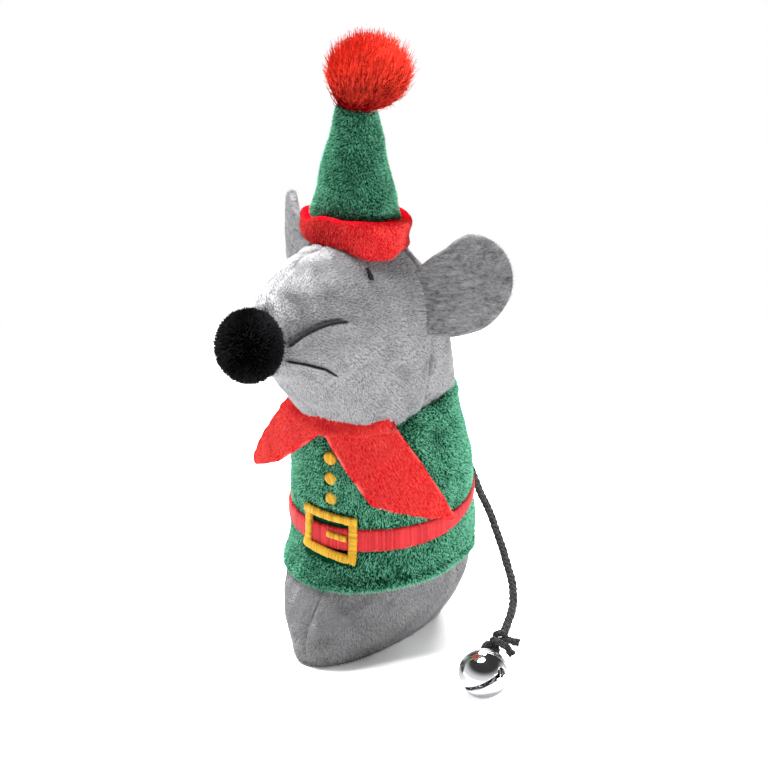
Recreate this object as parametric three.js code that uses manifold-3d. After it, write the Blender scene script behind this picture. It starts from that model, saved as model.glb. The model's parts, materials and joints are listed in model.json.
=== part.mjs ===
// Plush mouse cat toy in an elf's hat and tunic, with a cord tail and a jingle bell.
// Millimetres, +Z up. The origin is the centre of the flat base, and the toy faces -Y with its left side at +X.
import * as THREE from "three";
import { mergeVertices } from "three/addons/utils/BufferGeometryUtils.js";
import Module from "manifold-3d";

const wasm = await Module();
wasm.setup();

// Clearances and cloth
const clearance = 0.3;
const seamGap = 0.5;
const cutOverrun = 60;
const plushThickness = 1.2;
const tunicThickness = 1.3;
const feltThickness = 1.7;
const collarThickness = 1.3;
const embroideryThickness = 0.7;
const mergeTolerance = 0.001;

// Facets
const headSides = 26;
const headRings = 13;
const bodySides = 28;
const bodyRings = 15;
const clothColumns = 30;
const patchColumns = 10;
const prongColumns = 4;
const flapSteps = 8;
const hatSides = 30;
const ballSides = 16;
const sachetSides = 16;
const buttonSides = 16;
const threadSides = 6;
const cordSides = 8;
const cordSteps = 38;
const knotSides = 12;
const ringSteps = 14;
const bellSides = 20;
const bellArcSteps = 6;
const hollowSides = 24;

// Body: a bullet-shaped base gusset under a round torso
const neckHeight = 60;
const baseHalfWidth = 13;
const baseFrontReach = 32.5;
const baseBackReach = 19.5;
const baseRounding = 0.8;
const torsoHalfWidth = 21.7;
const torsoFrontReach = 20.4;
const torsoBackReach = 21.6;
const neckHalfWidth = 17;
const neckFrontReach = 21.6;
const neckBackReach = 16.5;
const bodySeamPlace = 0.5;

// Rows: height share of the neck height, then how far the width, the front and the back keep the base's size,
// then how far all three have reached the neck's size
const bodyStationShares = [
  [0, 1, 1, 1, 0],
  [0.07, 0.76, 1.03, 0.86, 0],
  [0.14, 0.38, 0.98, 0.45, 0],
  [0.21, 0.14, 0.76, 0.15, 0],
  [0.3, 0, 0.36, 0, 0],
  [0.4, 0, 0.1, 0, 0],
  [0.52, 0, 0, 0, 0.02],
  [0.72, 0, 0, 0, 0.16],
  [0.86, 0, 0, 0, 0.48],
  [1, 0, 0, 0, 0.96],
  [1.14, 0, 0, 0, 0.9],
];

// Head: an egg that points forward, with its snout at the front and its neck cut flat
const headWidth = 37;
const headLength = 62;
const snoutReach = 46;
const crownHeight = 105.5;
const crownRoundness = 1.8;
const headBellyHeight = 42;
const headMiddleHeight = 82;
const snoutSpan = 14;
const snoutHeight = 87.5;
const headSeamPlace = -6;

// Rows: length share from the snout to the back, width share of the head's half width, then the shares of the way
// from the snout's own top, middle and bottom to the crown, the middle and the belly
const headStationShares = [
  [0, 0.24, 0, 0, 0],
  [0.04, 0.35, 0.25, 0.02, 0.05],
  [0.12, 0.48, 0.56, 0.08, 0.13],
  [0.23, 0.62, 0.8, 0.24, 0.33],
  [0.35, 0.74, 0.91, 0.44, 0.6],
  [0.48, 0.88, 0.98, 0.7, 0.82],
  [0.61, 0.98, 1, 1, 0.98],
  [0.69, 0.99, 0.82, 1.5, 1],
  [0.775, 0.97, 0.42, 2.4, 1],
  [0.855, 0.89, -0.2, 3.5, 0.98],
  [0.935, 0.7, -1, 4.6, 0.9],
  [1, 0.38, -1.95, 5.4, 0.8],
];

// Tunic, belt and collar. The hem, the belt and the neckline climb towards the back.
const tunicFrontHem = 17.1;
const tunicBackHem = 21.4;
const tunicFrontNeckline = 56.8;
const tunicBackNeckline = 64.6;
const leftSideRise = 1.2;
const hemWidth = 2.8;
const hemFold = 0.6;
const beltWidth = 6;
const beltFrontHeight = 30.4;
const beltBackHeight = 34.6;
const buckleWidth = 13.8;
const buckleHeight = 12.2;
const buckleBar = 2.2;
const buckleShift = -0.9;
const prongLength = 5;
const prongWidth = 1.7;
const buttonDiameter = 3.3;
const buttonCrown = 0.9;
const collarHeight = 57.2;
const collarSpread = 9.6;

// Buttons as shares of the way down from the collar to the top of the buckle
const buttonPlaceShares = [0.275, 0.53, 0.782];
// A button's outline from its rim to near its middle, as shares of its radius and its crown
const buttonOutlineShares = [[1, 0], [1, 0.33], [0.5, 0.9]];
// Across the belt, and up the tunic: first its turned hem, then the way from there to the neckline
const beltRowShares = [-0.5, -0.3, 0.3, 0.5];
const hemRowShares = [0, 0.12, 0.5, 0.88, 1];
const riseRowShares = [0.06, 0.16, 0.26, 0.38, 0.56, 0.78, 1];

// Collar flaps: two corners at the neck, then two at the hem. Each is a share of a half turn round the body,
// a share of the collar's height and a share of the collar's spread, which is how far it stands off the tunic.
const leftFlapShares = [
  [-0.017, 1, 0.031],
  [0.244, 1.028, 0.031],
  [0.156, 0.72, 0.167],
  [0.439, 0.563, 0.25],
];
const rightFlapShares = [
  [-0.039, 1, 0.031],
  [-0.283, 1.028, 0.031],
  [-0.261, 0.76, 0.375],
  [-0.428, 0.752, 1],
];

// Hat
const hatBaseDiameter = 23.4;
const hatTopDiameter = 9.4;
const hatHeight = 30.2;
const hatShift = -0.6;
const hatReach = 10.8;
const hatSink = 0.5;
const hatRoll = THREE.MathUtils.degToRad(3.4);
const hatPitch = THREE.MathUtils.degToRad(2);
const brimDiameter = 26.4;
const brimDrop = 3.5;
const brimRise = 5.4;
// The brim's outer side from its foot up: shares of its height, first in from its widest place and then up
const brimOutlineShares = [[0.1, 0], [0, 0.12], [0.03, 0.88], [0.12, 1]];
const pompomWidth = 20;
const pompomHeight = 18.6;
const pompomShift = [2.5, 1.6];
const pompomLift = 7.4;

// Nose, ears, eyes and whiskers
const nosePompomWidth = 15.8;
const nosePompomHeight = 17.4;
const noseSink = 2.3;
const noseRise = 0.7;
const earLength = 21;
const earHeight = 24;
const earInset = 0.9;
const earRootReach = 8;
const earSweep = THREE.MathUtils.degToRad(43);
const leftEarHeight = 92.8;
const rightEarHeight = 95.6;
const eyeStitchDiameter = 0.9;
const whiskerDiameter = 0.7;

// The ear's outline as shares of its length and height, from the foot of its root round the edge to the top
const earOutlineShares = [
  [-0.02, -0.46],
  [0.3, -0.5],
  [0.7, -0.42],
  [0.95, -0.16],
  [0.98, 0.14],
  [0.82, 0.4],
  [0.5, 0.52],
  [0.2, 0.44],
  [-0.06, 0.2],
];
// Places on the head as a share along it and a share of a half turn from its top
const eyePlaceShares = [
  [0.41, 0.229],
  [0.408, 0.251],
  [0.404, 0.277],
];
const whiskerPlaceShares = [
  [[0.03, 0.477], [0.07, 0.43], [0.13, 0.411], [0.19, 0.407], [0.25, 0.414]],
  [[0.03, 0.64], [0.07, 0.649], [0.12, 0.659], [0.165, 0.659], [0.22, 0.662]],
];

// Tail cord and jingle bell
const cordDiameter = 2.1;
const rootStubLength = 2.6;
const anchorLength = 7;
const knotDiameter = 4.2;
const bightDiameter = 4;
const bightCordDiameter = 1.9;
const cordEndLength = 4;
const bellReach = 9.62;
const bellLift = 0.25;
const bellDiameter = 11.7;
const bellWall = 0.5;
const bellSeamLip = 0.2;
const bellSlitWidth = 1.1;
const bellHoleDiameter = 2.4;
const bellHoleTurn = THREE.MathUtils.degToRad(64);
const loopWire = 0.9;
const loopDiameter = 3.8;
const loopRise = 1.45;
const pelletDiameter = 3.2;

// Filling
const sachetDiameter = 13;
const sachetLength = 27;

// The cord's route from the back seam round the toy's left side to the middle of the knot
const cordRoute = [
  [0, 24.7, 41],
  [2.4, 26.4, 40.4],
  [5.2, 27.2, 38.8],
  [8.6, 26.6, 36.2],
  [11.8, 24.6, 33.4],
  [15.8, 21.6, 30.4],
  [21, 17.8, 27.6],
  [25, 14.4, 24.8],
  [28.9, 11, 22.2],
  [32.5, 7.5, 19.8],
  [36.1, 3.9, 17.2],
  [38.9, -0.4, 14.6],
  [40.2, -3.8, 13.3],
  [41.2, -7.3, 12.1],
  [41.6, -9.7, 11.1],
  [41.6, -11.2, 10.2],
];
const knotPlace = cordRoute.at(-1);

// Directions of the bell from the knot in plan, of its loop, of its slit and of the two ends of the cord
const bellPlanWay = [0.156, -0.988];
const bellLoopWay = [-0.362, 0.93, 0.069];
const bellSlitWay = [0.83, 0.288, 0.476];
const cordEndWays = [
  [0.83, 0.4, -0.1],
  [0.7, 0.1, -0.7],
];

// Materials
const greyPlush = new THREE.MeshStandardMaterial({ color: 0xa9a9ab, roughness: 0.95, metalness: 0 });
const greyFelt = new THREE.MeshStandardMaterial({ color: 0x7e7e80, roughness: 1, metalness: 0 });
const greenPlush = new THREE.MeshStandardMaterial({ color: 0x0f5f42, roughness: 0.95, metalness: 0 });
const redPlush = new THREE.MeshStandardMaterial({ color: 0xc81e26, roughness: 0.95, metalness: 0 });
const redFur = new THREE.MeshStandardMaterial({ color: 0xd8141c, roughness: 1, metalness: 0 });
const redThread = new THREE.MeshStandardMaterial({ color: 0xea4448, roughness: 0.6, metalness: 0 });
const goldThread = new THREE.MeshStandardMaterial({ color: 0xe0b428, roughness: 0.55, metalness: 0 });
const blackYarn = new THREE.MeshStandardMaterial({ color: 0x0c0c0d, roughness: 0.9, metalness: 0 });
const blackCord = new THREE.MeshStandardMaterial({ color: 0x141416, roughness: 0.7, metalness: 0 });
const chrome = new THREE.MeshStandardMaterial({ color: 0xd2d2d4, roughness: 0.12, metalness: 1 });
const whiteFibre = new THREE.MeshStandardMaterial({ color: 0xececec, roughness: 1, metalness: 0 });
const sachetCloth = new THREE.MeshStandardMaterial({ color: 0xcfc6a8, roughness: 0.9, metalness: 0 });

const toy = new THREE.Group();

function solidFrom(geometry) {
  const bare = geometry.index ? geometry.toNonIndexed() : geometry.clone();
  bare.deleteAttribute("normal");
  bare.deleteAttribute("uv");
  const merged = mergeVertices(bare, mergeTolerance);
  return new wasm.Manifold(
    new wasm.Mesh({
      numProp: 3,
      vertProperties: new Float32Array(merged.attributes.position.array),
      triVerts: new Uint32Array(merged.index.array),
    }),
  );
}

function geometryFrom(solid) {
  const mesh = solid.getMesh();
  const geometry = new THREE.BufferGeometry();
  geometry.setAttribute("position", new THREE.BufferAttribute(mesh.vertProperties, 3));
  geometry.setIndex(new THREE.BufferAttribute(mesh.triVerts, 1));
  return geometry;
}

function addPiece(name, shape, material, group = toy) {
  const geometry = geometryFrom(shape.isBufferGeometry ? solidFrom(shape) : shape);
  geometry.computeVertexNormals();
  const mesh = new THREE.Mesh(geometry, material);
  mesh.name = name;
  group.add(mesh);
  return mesh;
}

// A closed solid from rings of points, all with as many points, each end closed by a fan.
function loft(rings) {
  const count = rings[0].length;
  const points = rings.flat();
  const faces = [];
  for (let ring = 0; ring + 1 < rings.length; ring++) {
    for (let side = 0; side < count; side++) {
      const next = (side + 1) % count;
      const a = ring * count + side;
      const b = ring * count + next;
      faces.push(a, b, b + count, a, b + count, a + count);
    }
  }
  for (const [ring, order] of [[0, 1], [rings.length - 1, -1]]) {
    const centre = new THREE.Vector3();
    rings[ring].forEach((point) => centre.addScaledVector(point, 1 / count));
    points.push(centre);
    for (let side = 0; side < count; side++) {
      const next = (side + 1) % count;
      const pair = [ring * count + side, ring * count + next];
      if (order > 0) pair.reverse();
      faces.push(points.length - 1, ...pair);
    }
  }
  return indexed(points, faces);
}

function indexed(points, faces) {
  const geometry = new THREE.BufferGeometry().setFromPoints(points);
  geometry.setIndex(faces);
  return geometry;
}

// A closed sheet between two grids of points: outer and inner hold rows of points, all equally long.
function sheet(outer, inner) {
  const rows = outer.length;
  const columns = outer[0].length;
  const points = [...outer.flat(), ...inner.flat()];
  const at = (layer, row, column) => layer * rows * columns + row * columns + column;
  const faces = [];
  const quad = (a, b, c, d) => faces.push(a, b, c, a, c, d);
  for (let row = 0; row + 1 < rows; row++) {
    for (let column = 0; column + 1 < columns; column++) {
      quad(at(0, row, column), at(0, row, column + 1), at(0, row + 1, column + 1), at(0, row + 1, column));
      quad(at(1, row, column), at(1, row + 1, column), at(1, row + 1, column + 1), at(1, row, column + 1));
    }
  }
  for (let column = 0; column + 1 < columns; column++) {
    quad(at(0, 0, column), at(1, 0, column), at(1, 0, column + 1), at(0, 0, column + 1));
    const last = rows - 1;
    quad(at(0, last, column), at(0, last, column + 1), at(1, last, column + 1), at(1, last, column));
  }
  for (let row = 0; row + 1 < rows; row++) {
    quad(at(0, row, 0), at(0, row + 1, 0), at(1, row + 1, 0), at(1, row, 0));
    const last = columns - 1;
    quad(at(0, row, last), at(1, row, last), at(1, row + 1, last), at(0, row + 1, last));
  }
  return outward(indexed(points, faces));
}

// The same closed geometry with its faces pointing out.
function outward(geometry) {
  const position = geometry.attributes.position;
  const index = geometry.index.array;
  const [a, b, c] = [new THREE.Vector3(), new THREE.Vector3(), new THREE.Vector3()];
  let volume = 0;
  for (let face = 0; face < index.length; face += 3) {
    a.fromBufferAttribute(position, index[face]);
    b.fromBufferAttribute(position, index[face + 1]);
    c.fromBufferAttribute(position, index[face + 2]);
    volume += a.dot(b.cross(c));
  }
  if (volume < 0) geometry.setIndex(Array.from(index).reverse());
  return geometry;
}

function grid(rows, columns, pointAt) {
  return Array.from({ length: rows + 1 }, (_, row) =>
    Array.from({ length: columns + 1 }, (_, column) => pointAt(row / rows, column / columns)),
  );
}

function boxSolid(width, depth, height, centre) {
  return solidFrom(new THREE.BoxGeometry(width, depth, height).translate(...centre));
}

// A cardinal curve through a table of rows, read at a value of its first column
function readTable(rows, value) {
  const last = rows.length - 2;
  const found = rows.findIndex((row, place) => place > 0 && row[0] >= value) - 1;
  const place = found < 0 ? last : Math.min(found, last);
  const share = (value - rows[place][0]) / (rows[place + 1][0] - rows[place][0]);
  const before = rows[Math.max(place - 1, 0)];
  const after = rows[Math.min(place + 2, rows.length - 1)];
  const [from, to] = [rows[place], rows[place + 1]];
  return from.map((start, column) => {
    const span = to[0] - from[0];
    const slopeIn = ((to[column] - before[column]) / (to[0] - before[0])) * span;
    const slopeOut = ((after[column] - start) / (after[0] - from[0])) * span;
    const squared = share * share;
    const cubed = squared * share;
    return (
      (2 * cubed - 3 * squared + 1) * start +
      (cubed - 2 * squared + share) * slopeIn +
      (3 * squared - 2 * cubed) * to[column] +
      (cubed - squared) * slopeOut
    );
  });
}

// The body's outer surface at a turn about the vertical, zero at the front and positive to the toy's left
function bodyPoint(turn, height, offset) {
  const [, wide, front, back, neck] = readTable(bodyStationShares, height / neckHeight);
  const size = (base, torso, top, share) => torso + (base - torso) * share + (top - torso) * neck;
  const halfWidth = size(baseHalfWidth, torsoHalfWidth, neckHalfWidth, wide) + offset;
  const frontReach = size(baseFrontReach, torsoFrontReach, neckFrontReach, front) + offset;
  const backReach = size(baseBackReach, torsoBackReach, neckBackReach, back) + offset;
  const reach = Math.cos(turn) > 0 ? frontReach : backReach;
  return new THREE.Vector3(halfWidth * Math.sin(turn), -reach * Math.cos(turn), height);
}

// The head's surface: along runs from the snout at zero to the back at one, and turn goes round from the top
function headSurface(along, turn) {
  const [, wide, top, middle, bottom] = readTable(headStationShares, along);
  const mix = (start, end, share) => start + (end - start) * share;
  const topHeight = mix(snoutHeight + snoutSpan / 2, crownHeight, top);
  const middleHeight = mix(snoutHeight, headMiddleHeight, middle);
  const bottomHeight = mix(snoutHeight - snoutSpan / 2, headBellyHeight, bottom);
  const upper = Math.cos(turn) > 0;
  const rise = upper ? topHeight - middleHeight : middleHeight - bottomHeight;
  const power = upper ? 2 / crownRoundness : 1;
  const curved = (value) => Math.sign(value) * Math.abs(value) ** power;
  return new THREE.Vector3(
    (headWidth / 2) * wide * curved(Math.sin(turn)),
    headLength * along - snoutReach,
    middleHeight + rise * curved(Math.cos(turn)),
  );
}

function headPoint(along, turn, offset) {
  const stepShare = 0.001;
  const here = headSurface(along, turn);
  const ahead = headSurface(Math.min(along + stepShare, 1), turn);
  const forward = ahead.sub(headSurface(Math.max(along - stepShare, 0), turn));
  const round = headSurface(along, turn + stepShare).sub(headSurface(along, turn - stepShare));
  return here.addScaledVector(round.cross(forward).normalize(), offset);
}

function headSolid(offset) {
  const rings = Array.from({ length: headRings + 1 }, (_, ring) =>
    Array.from({ length: headSides }, (_, side) =>
      headPoint(ring / headRings, (side / headSides) * 2 * Math.PI, offset),
    ),
  );
  return solidFrom(outward(loft(rings)));
}

// The body at an offset, from the floor to the neck, in rings at the same heights for every offset
function bodySolid(offset) {
  const rings = Array.from({ length: bodyRings + 1 }, (_, ring) => bodyRing((neckHeight * ring) / bodyRings, offset));
  return solidFrom(outward(loft(rings)));
}

function bodyRing(height, offset) {
  return Array.from({ length: bodySides }, (_, side) => bodyPoint((side / bodySides) * 2 * Math.PI, height, offset));
}

// Half spaces for cutting the skin into panels
function region(axis, side, place) {
  const centre = [0, 0, 0];
  centre[axis] = place + side * cutOverrun;
  const size = [4 * cutOverrun, 4 * cutOverrun, 4 * cutOverrun];
  size[axis] = 2 * cutOverrun;
  return boxSolid(...size, centre);
}

const tailWidth = cordDiameter + 2 * clearance;
const tailOpening = torsoBackReach + clearance + tunicThickness;
const tailFloor = tailOpening - anchorLength - clearance;
const tailHole = boxSolid(tailWidth, cutOverrun, tailWidth, [0, tailFloor + cutOverrun / 2, cordRoute[0][2]]);
const left = region(0, 1, seamGap / 2);
const right = region(0, -1, -seamGap / 2);
const head = headSolid(0);
const headClear = headSolid(clearance);
const aboveNeck = region(2, 1, neckHeight);

function addSkin(name, shell, seamPlace) {
  const front = region(1, -1, seamPlace - seamGap / 2);
  const back = region(1, 1, seamPlace + seamGap / 2);
  addPiece(`${name}_left_panel`, shell.intersect(front).intersect(left), greyPlush);
  addPiece(`${name}_right_panel`, shell.intersect(front).intersect(right), greyPlush);
  addPiece(`${name}_back_panel`, shell.intersect(back), greyPlush);
}

function addHead() {
  const shell = head.subtract(headSolid(-plushThickness)).intersect(aboveNeck);
  addSkin("head", shell, headSeamPlace);
  addPiece("head_stuffing", headSolid(-plushThickness - clearance).intersect(aboveNeck), whiteFibre);
}

function addBody() {
  const slab = region(2, 1, plushThickness + clearance).intersect(region(2, -1, neckHeight - clearance));
  const shell = bodySolid(0).subtract(bodySolid(-plushThickness)).intersect(slab);
  addSkin("body", shell.subtract(tailHole), bodySeamPlace);
  const filling = bodySolid(-plushThickness - clearance).intersect(slab);
  addPiece("body_stuffing", filling.subtract(sachetSolid(clearance, neckHeight)).subtract(tailHole), whiteFibre);
  addPiece("catnip_sachet", sachetSolid(0, neckHeight - 2 * clearance), sachetCloth);
  const edge = [[0, -baseRounding], [baseRounding, 0], [plushThickness, 0]];
  addPiece("base_panel", outward(loft(edge.map(([height, offset]) => bodyRing(height, offset)))), greyPlush);
}

// A pillow-shaped bag in a pocket that opens at the top of the body's filling
function sachetSolid(offset, top) {
  const radius = sachetDiameter / 2 + offset;
  const bottom = neckHeight - 2 * clearance - sachetLength - offset;
  const corner = radius / 2;
  const profile = [[0, bottom], [radius - corner, bottom], [radius, bottom + corner], [radius, top], [0, top]];
  return solidFrom(latheAbout(profile, sachetSides));
}

function latheAbout(profile, sides) {
  const points = profile.map(([radius, height]) => new THREE.Vector2(radius, height));
  return outward(mergedBare(new THREE.LatheGeometry(points, sides).rotateX(Math.PI / 2)));
}

function mergedBare(geometry) {
  geometry.deleteAttribute("normal");
  geometry.deleteAttribute("uv");
  return mergeVertices(geometry, mergeTolerance);
}

// How far a height that climbs from front to back has got at a turn
function climb(front, back, turn) {
  return front + (back - front) * Math.sin(turn / 2) ** 2 + leftSideRise * Math.sin(turn);
}

const tunicOuter = clearance + tunicThickness;
const beltOuter = tunicOuter + clearance + embroideryThickness;

function addTunic() {
  const hemRows = hemRowShares.length;
  const rowCount = hemRows + riseRowShares.length;
  const heightAt = (row, turn) => {
    const hem = climb(tunicFrontHem, tunicBackHem, turn);
    if (row < hemRows) return hem + hemWidth * hemRowShares[row];
    const neckline = climb(tunicFrontNeckline, tunicBackNeckline, turn);
    return hem + hemWidth + (neckline - hem - hemWidth) * riseRowShares[row - hemRows];
  };
  const fold = (row) => (row < hemRows ? hemFold * Math.sin(Math.PI * hemRowShares[row]) : 0);
  const layer = (offset, folded) =>
    grid(rowCount - 1, clothColumns, (up, round) => {
      const row = Math.round(up * (rowCount - 1));
      const turn = turnRound(round);
      return bodyPoint(turn, heightAt(row, turn), offset + folded * fold(row));
    });
  const cloth = solidFrom(sheet(layer(tunicOuter, 1), layer(clearance, 0)));
  addPiece("tunic", cloth.subtract(headClear).subtract(tailHole), greenPlush);
}

// The turn for a share of the way round, from one side of the back seam to the other
function turnRound(share) {
  const open = seamGap / 2 / torsoHalfWidth;
  return (2 * share - 1) * (Math.PI - open);
}

function addBelt() {
  const last = beltRowShares.length - 1;
  const layer = (offset, crown) =>
    grid(last, clothColumns, (up, round) => {
      const turn = turnRound(round);
      const height = climb(beltFrontHeight, beltBackHeight, turn) + beltWidth * beltRowShares[Math.round(up * last)];
      return bodyPoint(turn, height, up === 0 || up === 1 ? offset - crown : offset);
    });
  const belt = sheet(layer(beltOuter, embroideryThickness / 2), layer(tunicOuter + clearance, 0));
  addPiece("belt", solidFrom(belt).subtract(tailHole), redThread);
}

// A rectangular patch that lies on the curved front: its middle, its width, its height and its two offsets
function patch(across, height, width, tall, inside, outside, columns = patchColumns) {
  const layer = (offset) =>
    grid(2, columns, (up, along) => {
      const place = across + width * (along - 0.5);
      return bodyPoint(Math.asin(place / torsoHalfWidth), height + tall * (up - 0.5), offset);
    });
  return solidFrom(sheet(layer(outside), layer(inside)));
}

function addBuckle() {
  const seat = beltOuter + clearance;
  const face = seat + embroideryThickness;
  const outer = patch(buckleShift, beltFrontHeight, buckleWidth, buckleHeight, seat, face);
  const window = [buckleWidth - 2 * buckleBar, buckleHeight - 2 * buckleBar];
  const inner = patch(buckleShift, beltFrontHeight, ...window, 0, 2 * face);
  addPiece("buckle_frame", outer.subtract(inner), goldThread);
  const prongPlace = buckleShift + window[0] / 2 - clearance - prongLength / 2;
  const prong = patch(prongPlace, beltFrontHeight, prongLength, prongWidth, seat, face, prongColumns);
  addPiece("buckle_prong", prong, goldThread);
}

function addButtons() {
  const round = buttonOutlineShares.map(([out, up]) => [(out * buttonDiameter) / 2, up * buttonCrown]);
  const drop = collarHeight - beltFrontHeight - buckleHeight / 2;
  buttonPlaceShares.forEach((share, place) => {
    const button = latheAbout([[0, 0], ...round, [0, buttonCrown]], buttonSides);
    const mesh = addPiece(`button_${place + 1}`, button, goldThread);
    mesh.position.copy(bodyPoint(0, collarHeight - drop * share, tunicOuter + clearance));
    mesh.rotation.x = Math.PI / 2;
  });
}

function addFlap(name, cornerShares) {
  const seat = tunicOuter + clearance;
  const mix = (a, b, share) => a.map((value, axis) => value + (b[axis] - value) * share);
  const [neckStart, neckEnd, hemStart, hemEnd] = cornerShares;
  const layer = (offset) =>
    grid(flapSteps, flapSteps, (down, along) => {
      const [turn, height, lift] = mix(mix(neckStart, neckEnd, along), mix(hemStart, hemEnd, along), down);
      return bodyPoint(turn * Math.PI, height * collarHeight, seat + lift * collarSpread + offset);
    });
  const cloth = solidFrom(sheet(layer(collarThickness), layer(0)));
  addPiece(name, cloth.subtract(headClear), redPlush);
}

function addHat() {
  const hat = new THREE.Group();
  hat.position.set(hatShift, -hatReach, crownHeight - hatSink);
  hat.rotation.set(hatPitch, hatRoll, 0);
  hat.updateMatrix();
  toy.add(hat);
  const headHere = headClear.transform(hat.matrix.clone().invert().elements);
  const [base, top] = [hatBaseDiameter / 2, hatTopDiameter / 2];
  const slope = (base - top) / hatHeight;
  const coneAt = (height) => base - slope * height;
  const foot = -brimDrop;
  const cone = (offset, from, to) =>
    solidFrom(latheAbout([[0, from], [coneAt(from) + offset, from], [coneAt(to) + offset, to], [0, to]], hatSides));
  const skin = cone(0, foot, hatHeight).subtract(cone(-plushThickness, foot - cutOverrun, hatHeight - plushThickness));
  addPiece("hat_cone", skin.subtract(headHere), greenPlush, hat);
  const inset = plushThickness + clearance;
  addPiece("hat_stuffing", cone(-inset, foot, hatHeight - inset).subtract(headHere), whiteFibre, hat);
  const band = brimRise + brimDrop;
  const outside = brimOutlineShares.map(([inset, up]) => [brimDiameter / 2 - band * inset, foot + band * up]);
  const inside = [brimRise, foot].map((height) => [coneAt(height) + clearance, height]);
  const brimProfile = [...outside, ...inside, outside[0]];
  addPiece("hat_brim", solidFrom(latheAbout(brimProfile, hatSides)).subtract(headHere), redPlush, hat);
  const ball = ellipsoid(pompomWidth, pompomHeight).translate(...pompomShift, hatHeight + pompomLift);
  const flat = region(2, 1, hatHeight + clearance);
  addPiece("hat_pompom", solidFrom(ball).intersect(flat), redFur, hat);
}

function ellipsoid(width, height, sides = ballSides) {
  const ball = new THREE.SphereGeometry(0.5, sides, sides / 2);
  return outward(mergedBare(ball.rotateX(Math.PI / 2).scale(width, width, height)));
}

function noseBall(offset) {
  const growth = 2 * offset;
  const reach = snoutReach + nosePompomWidth / 2 - noseSink;
  const ball = ellipsoid(nosePompomWidth + growth, nosePompomHeight + growth);
  return solidFrom(ball.translate(0, -reach, snoutHeight + noseRise));
}

const noseClear = noseBall(clearance);

function addNose() {
  addPiece("nose_pompom", noseBall(0).subtract(headClear), blackYarn);
}

// A felt ear: a rounded outline in its own plane, X away from the root and Y up
function addEar(name, side, height) {
  const shape = new THREE.Shape();
  const rows = earOutlineShares.map(([out, up]) => new THREE.Vector2(out * earLength, up * earHeight));
  shape.moveTo(rows[0].x, rows[0].y);
  shape.splineThru(rows.slice(1));
  const options = { depth: feltThickness, bevelEnabled: false, curveSegments: 3 };
  const ear = mergedBare(new THREE.ExtrudeGeometry(shape, options));
  ear.translate(0, 0, -feltThickness / 2).rotateX(Math.PI / 2);
  const pivot = new THREE.Group();
  pivot.position.set(side * (headWidth / 2 - earInset), -earRootReach, height);
  pivot.rotation.z = side > 0 ? earSweep : Math.PI - earSweep;
  pivot.updateMatrix();
  toy.add(pivot);
  const headHere = headSolid(2 * clearance).transform(pivot.matrix.clone().invert().elements);
  addPiece(name, solidFrom(outward(ear)).subtract(headHere), greyFelt, pivot);
}

// A thread that lies on one side of the head, through places given as shares along it and of a half turn
function addHeadThread(name, placeShares, side, diameter) {
  const lift = clearance + diameter / 2;
  const points = placeShares.map(([along, turn]) => headPoint(along, side * turn * Math.PI, lift));
  const route = new THREE.CatmullRomCurve3(points);
  const thread = solidFrom(tube(route, diameter, threadSides, 2 * placeShares.length));
  addPiece(name, thread.subtract(noseClear), blackYarn);
}

function tube(curve, diameter, sides, steps) {
  const ring = Array.from({ length: sides }, (_, side) => {
    const angle = (side / sides) * 2 * Math.PI;
    return new THREE.Vector2(Math.cos(angle), Math.sin(angle)).multiplyScalar(diameter / 2);
  });
  const options = { steps, extrudePath: curve, bevelEnabled: false };
  return outward(mergedBare(new THREE.ExtrudeGeometry(new THREE.Shape(ring), options)));
}

function addFace() {
  for (const [side, name] of [[1, "left"], [-1, "right"]]) {
    addHeadThread(`eye_stitch_${name}`, eyePlaceShares, side, eyeStitchDiameter);
    whiskerPlaceShares.forEach((placeShares, row) => {
      addHeadThread(`whisker_${name}_${row + 1}`, placeShares, side, whiskerDiameter);
    });
  }
}

function stretch(curve, from, to, count) {
  const shares = Array.from({ length: count + 1 }, (_, place) => from + (to - from) * (place / count));
  return new THREE.CatmullRomCurve3(shares.map((share) => curve.getPointAt(share)));
}

// A round-ended stretch of cord, so that it can turn about the middle of its first end
function roundEnded(curve, steps) {
  const ball = ellipsoid(cordDiameter, cordDiameter, cordSides).translate(...curve.getPointAt(0));
  return solidFrom(tube(curve, cordDiameter, cordSides, steps)).add(solidFrom(ball));
}

function knotBall(offset) {
  const width = knotDiameter + 2 * offset;
  return solidFrom(ellipsoid(width, width, knotSides).translate(...knotPlace));
}

function addTail() {
  const route = new THREE.CatmullRomCurve3(cordRoute.map((place) => new THREE.Vector3(...place)));
  const length = route.getLength();
  const level = cordRoute[0][2];
  const buried = [tailOpening - anchorLength, tailOpening].map((place) => new THREE.Vector3(0, place, level));
  addPiece("tail_anchor", tube(new THREE.LineCurve3(...buried), cordDiameter, cordSides, 1), blackCord);
  const stubEnd = rootStubLength / length;
  const cordStart = (rootStubLength + cordDiameter / 2 + clearance) / length;
  addPiece("tail_root", roundEnded(stretch(route, 0, stubEnd, 4), 3), blackCord);
  const cord = roundEnded(stretch(route, cordStart, 1, 24), cordSteps);
  addPiece("tail_cord", cord.subtract(knotBall(clearance)), blackCord);
  const ends = cordEndWays.map((way) => {
    const middle = new THREE.Vector3(...knotPlace);
    const tip = middle.clone().addScaledVector(new THREE.Vector3(...way).normalize(), cordEndLength);
    return solidFrom(tube(new THREE.LineCurve3(middle, tip), cordDiameter, cordSides, 1));
  });
  addPiece("tail_knot", ends.reduce((sum, end) => sum.add(end), knotBall(0).add(bightSolid())), blackCord);
}

// The middle of the bell, which lies on the floor
function bellMiddle() {
  const [across, along] = bellPlanWay.map((way, axis) => knotPlace[axis] + way * bellReach);
  return new THREE.Vector3(across, along, bellDiameter / 2 + bellLift);
}

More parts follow.
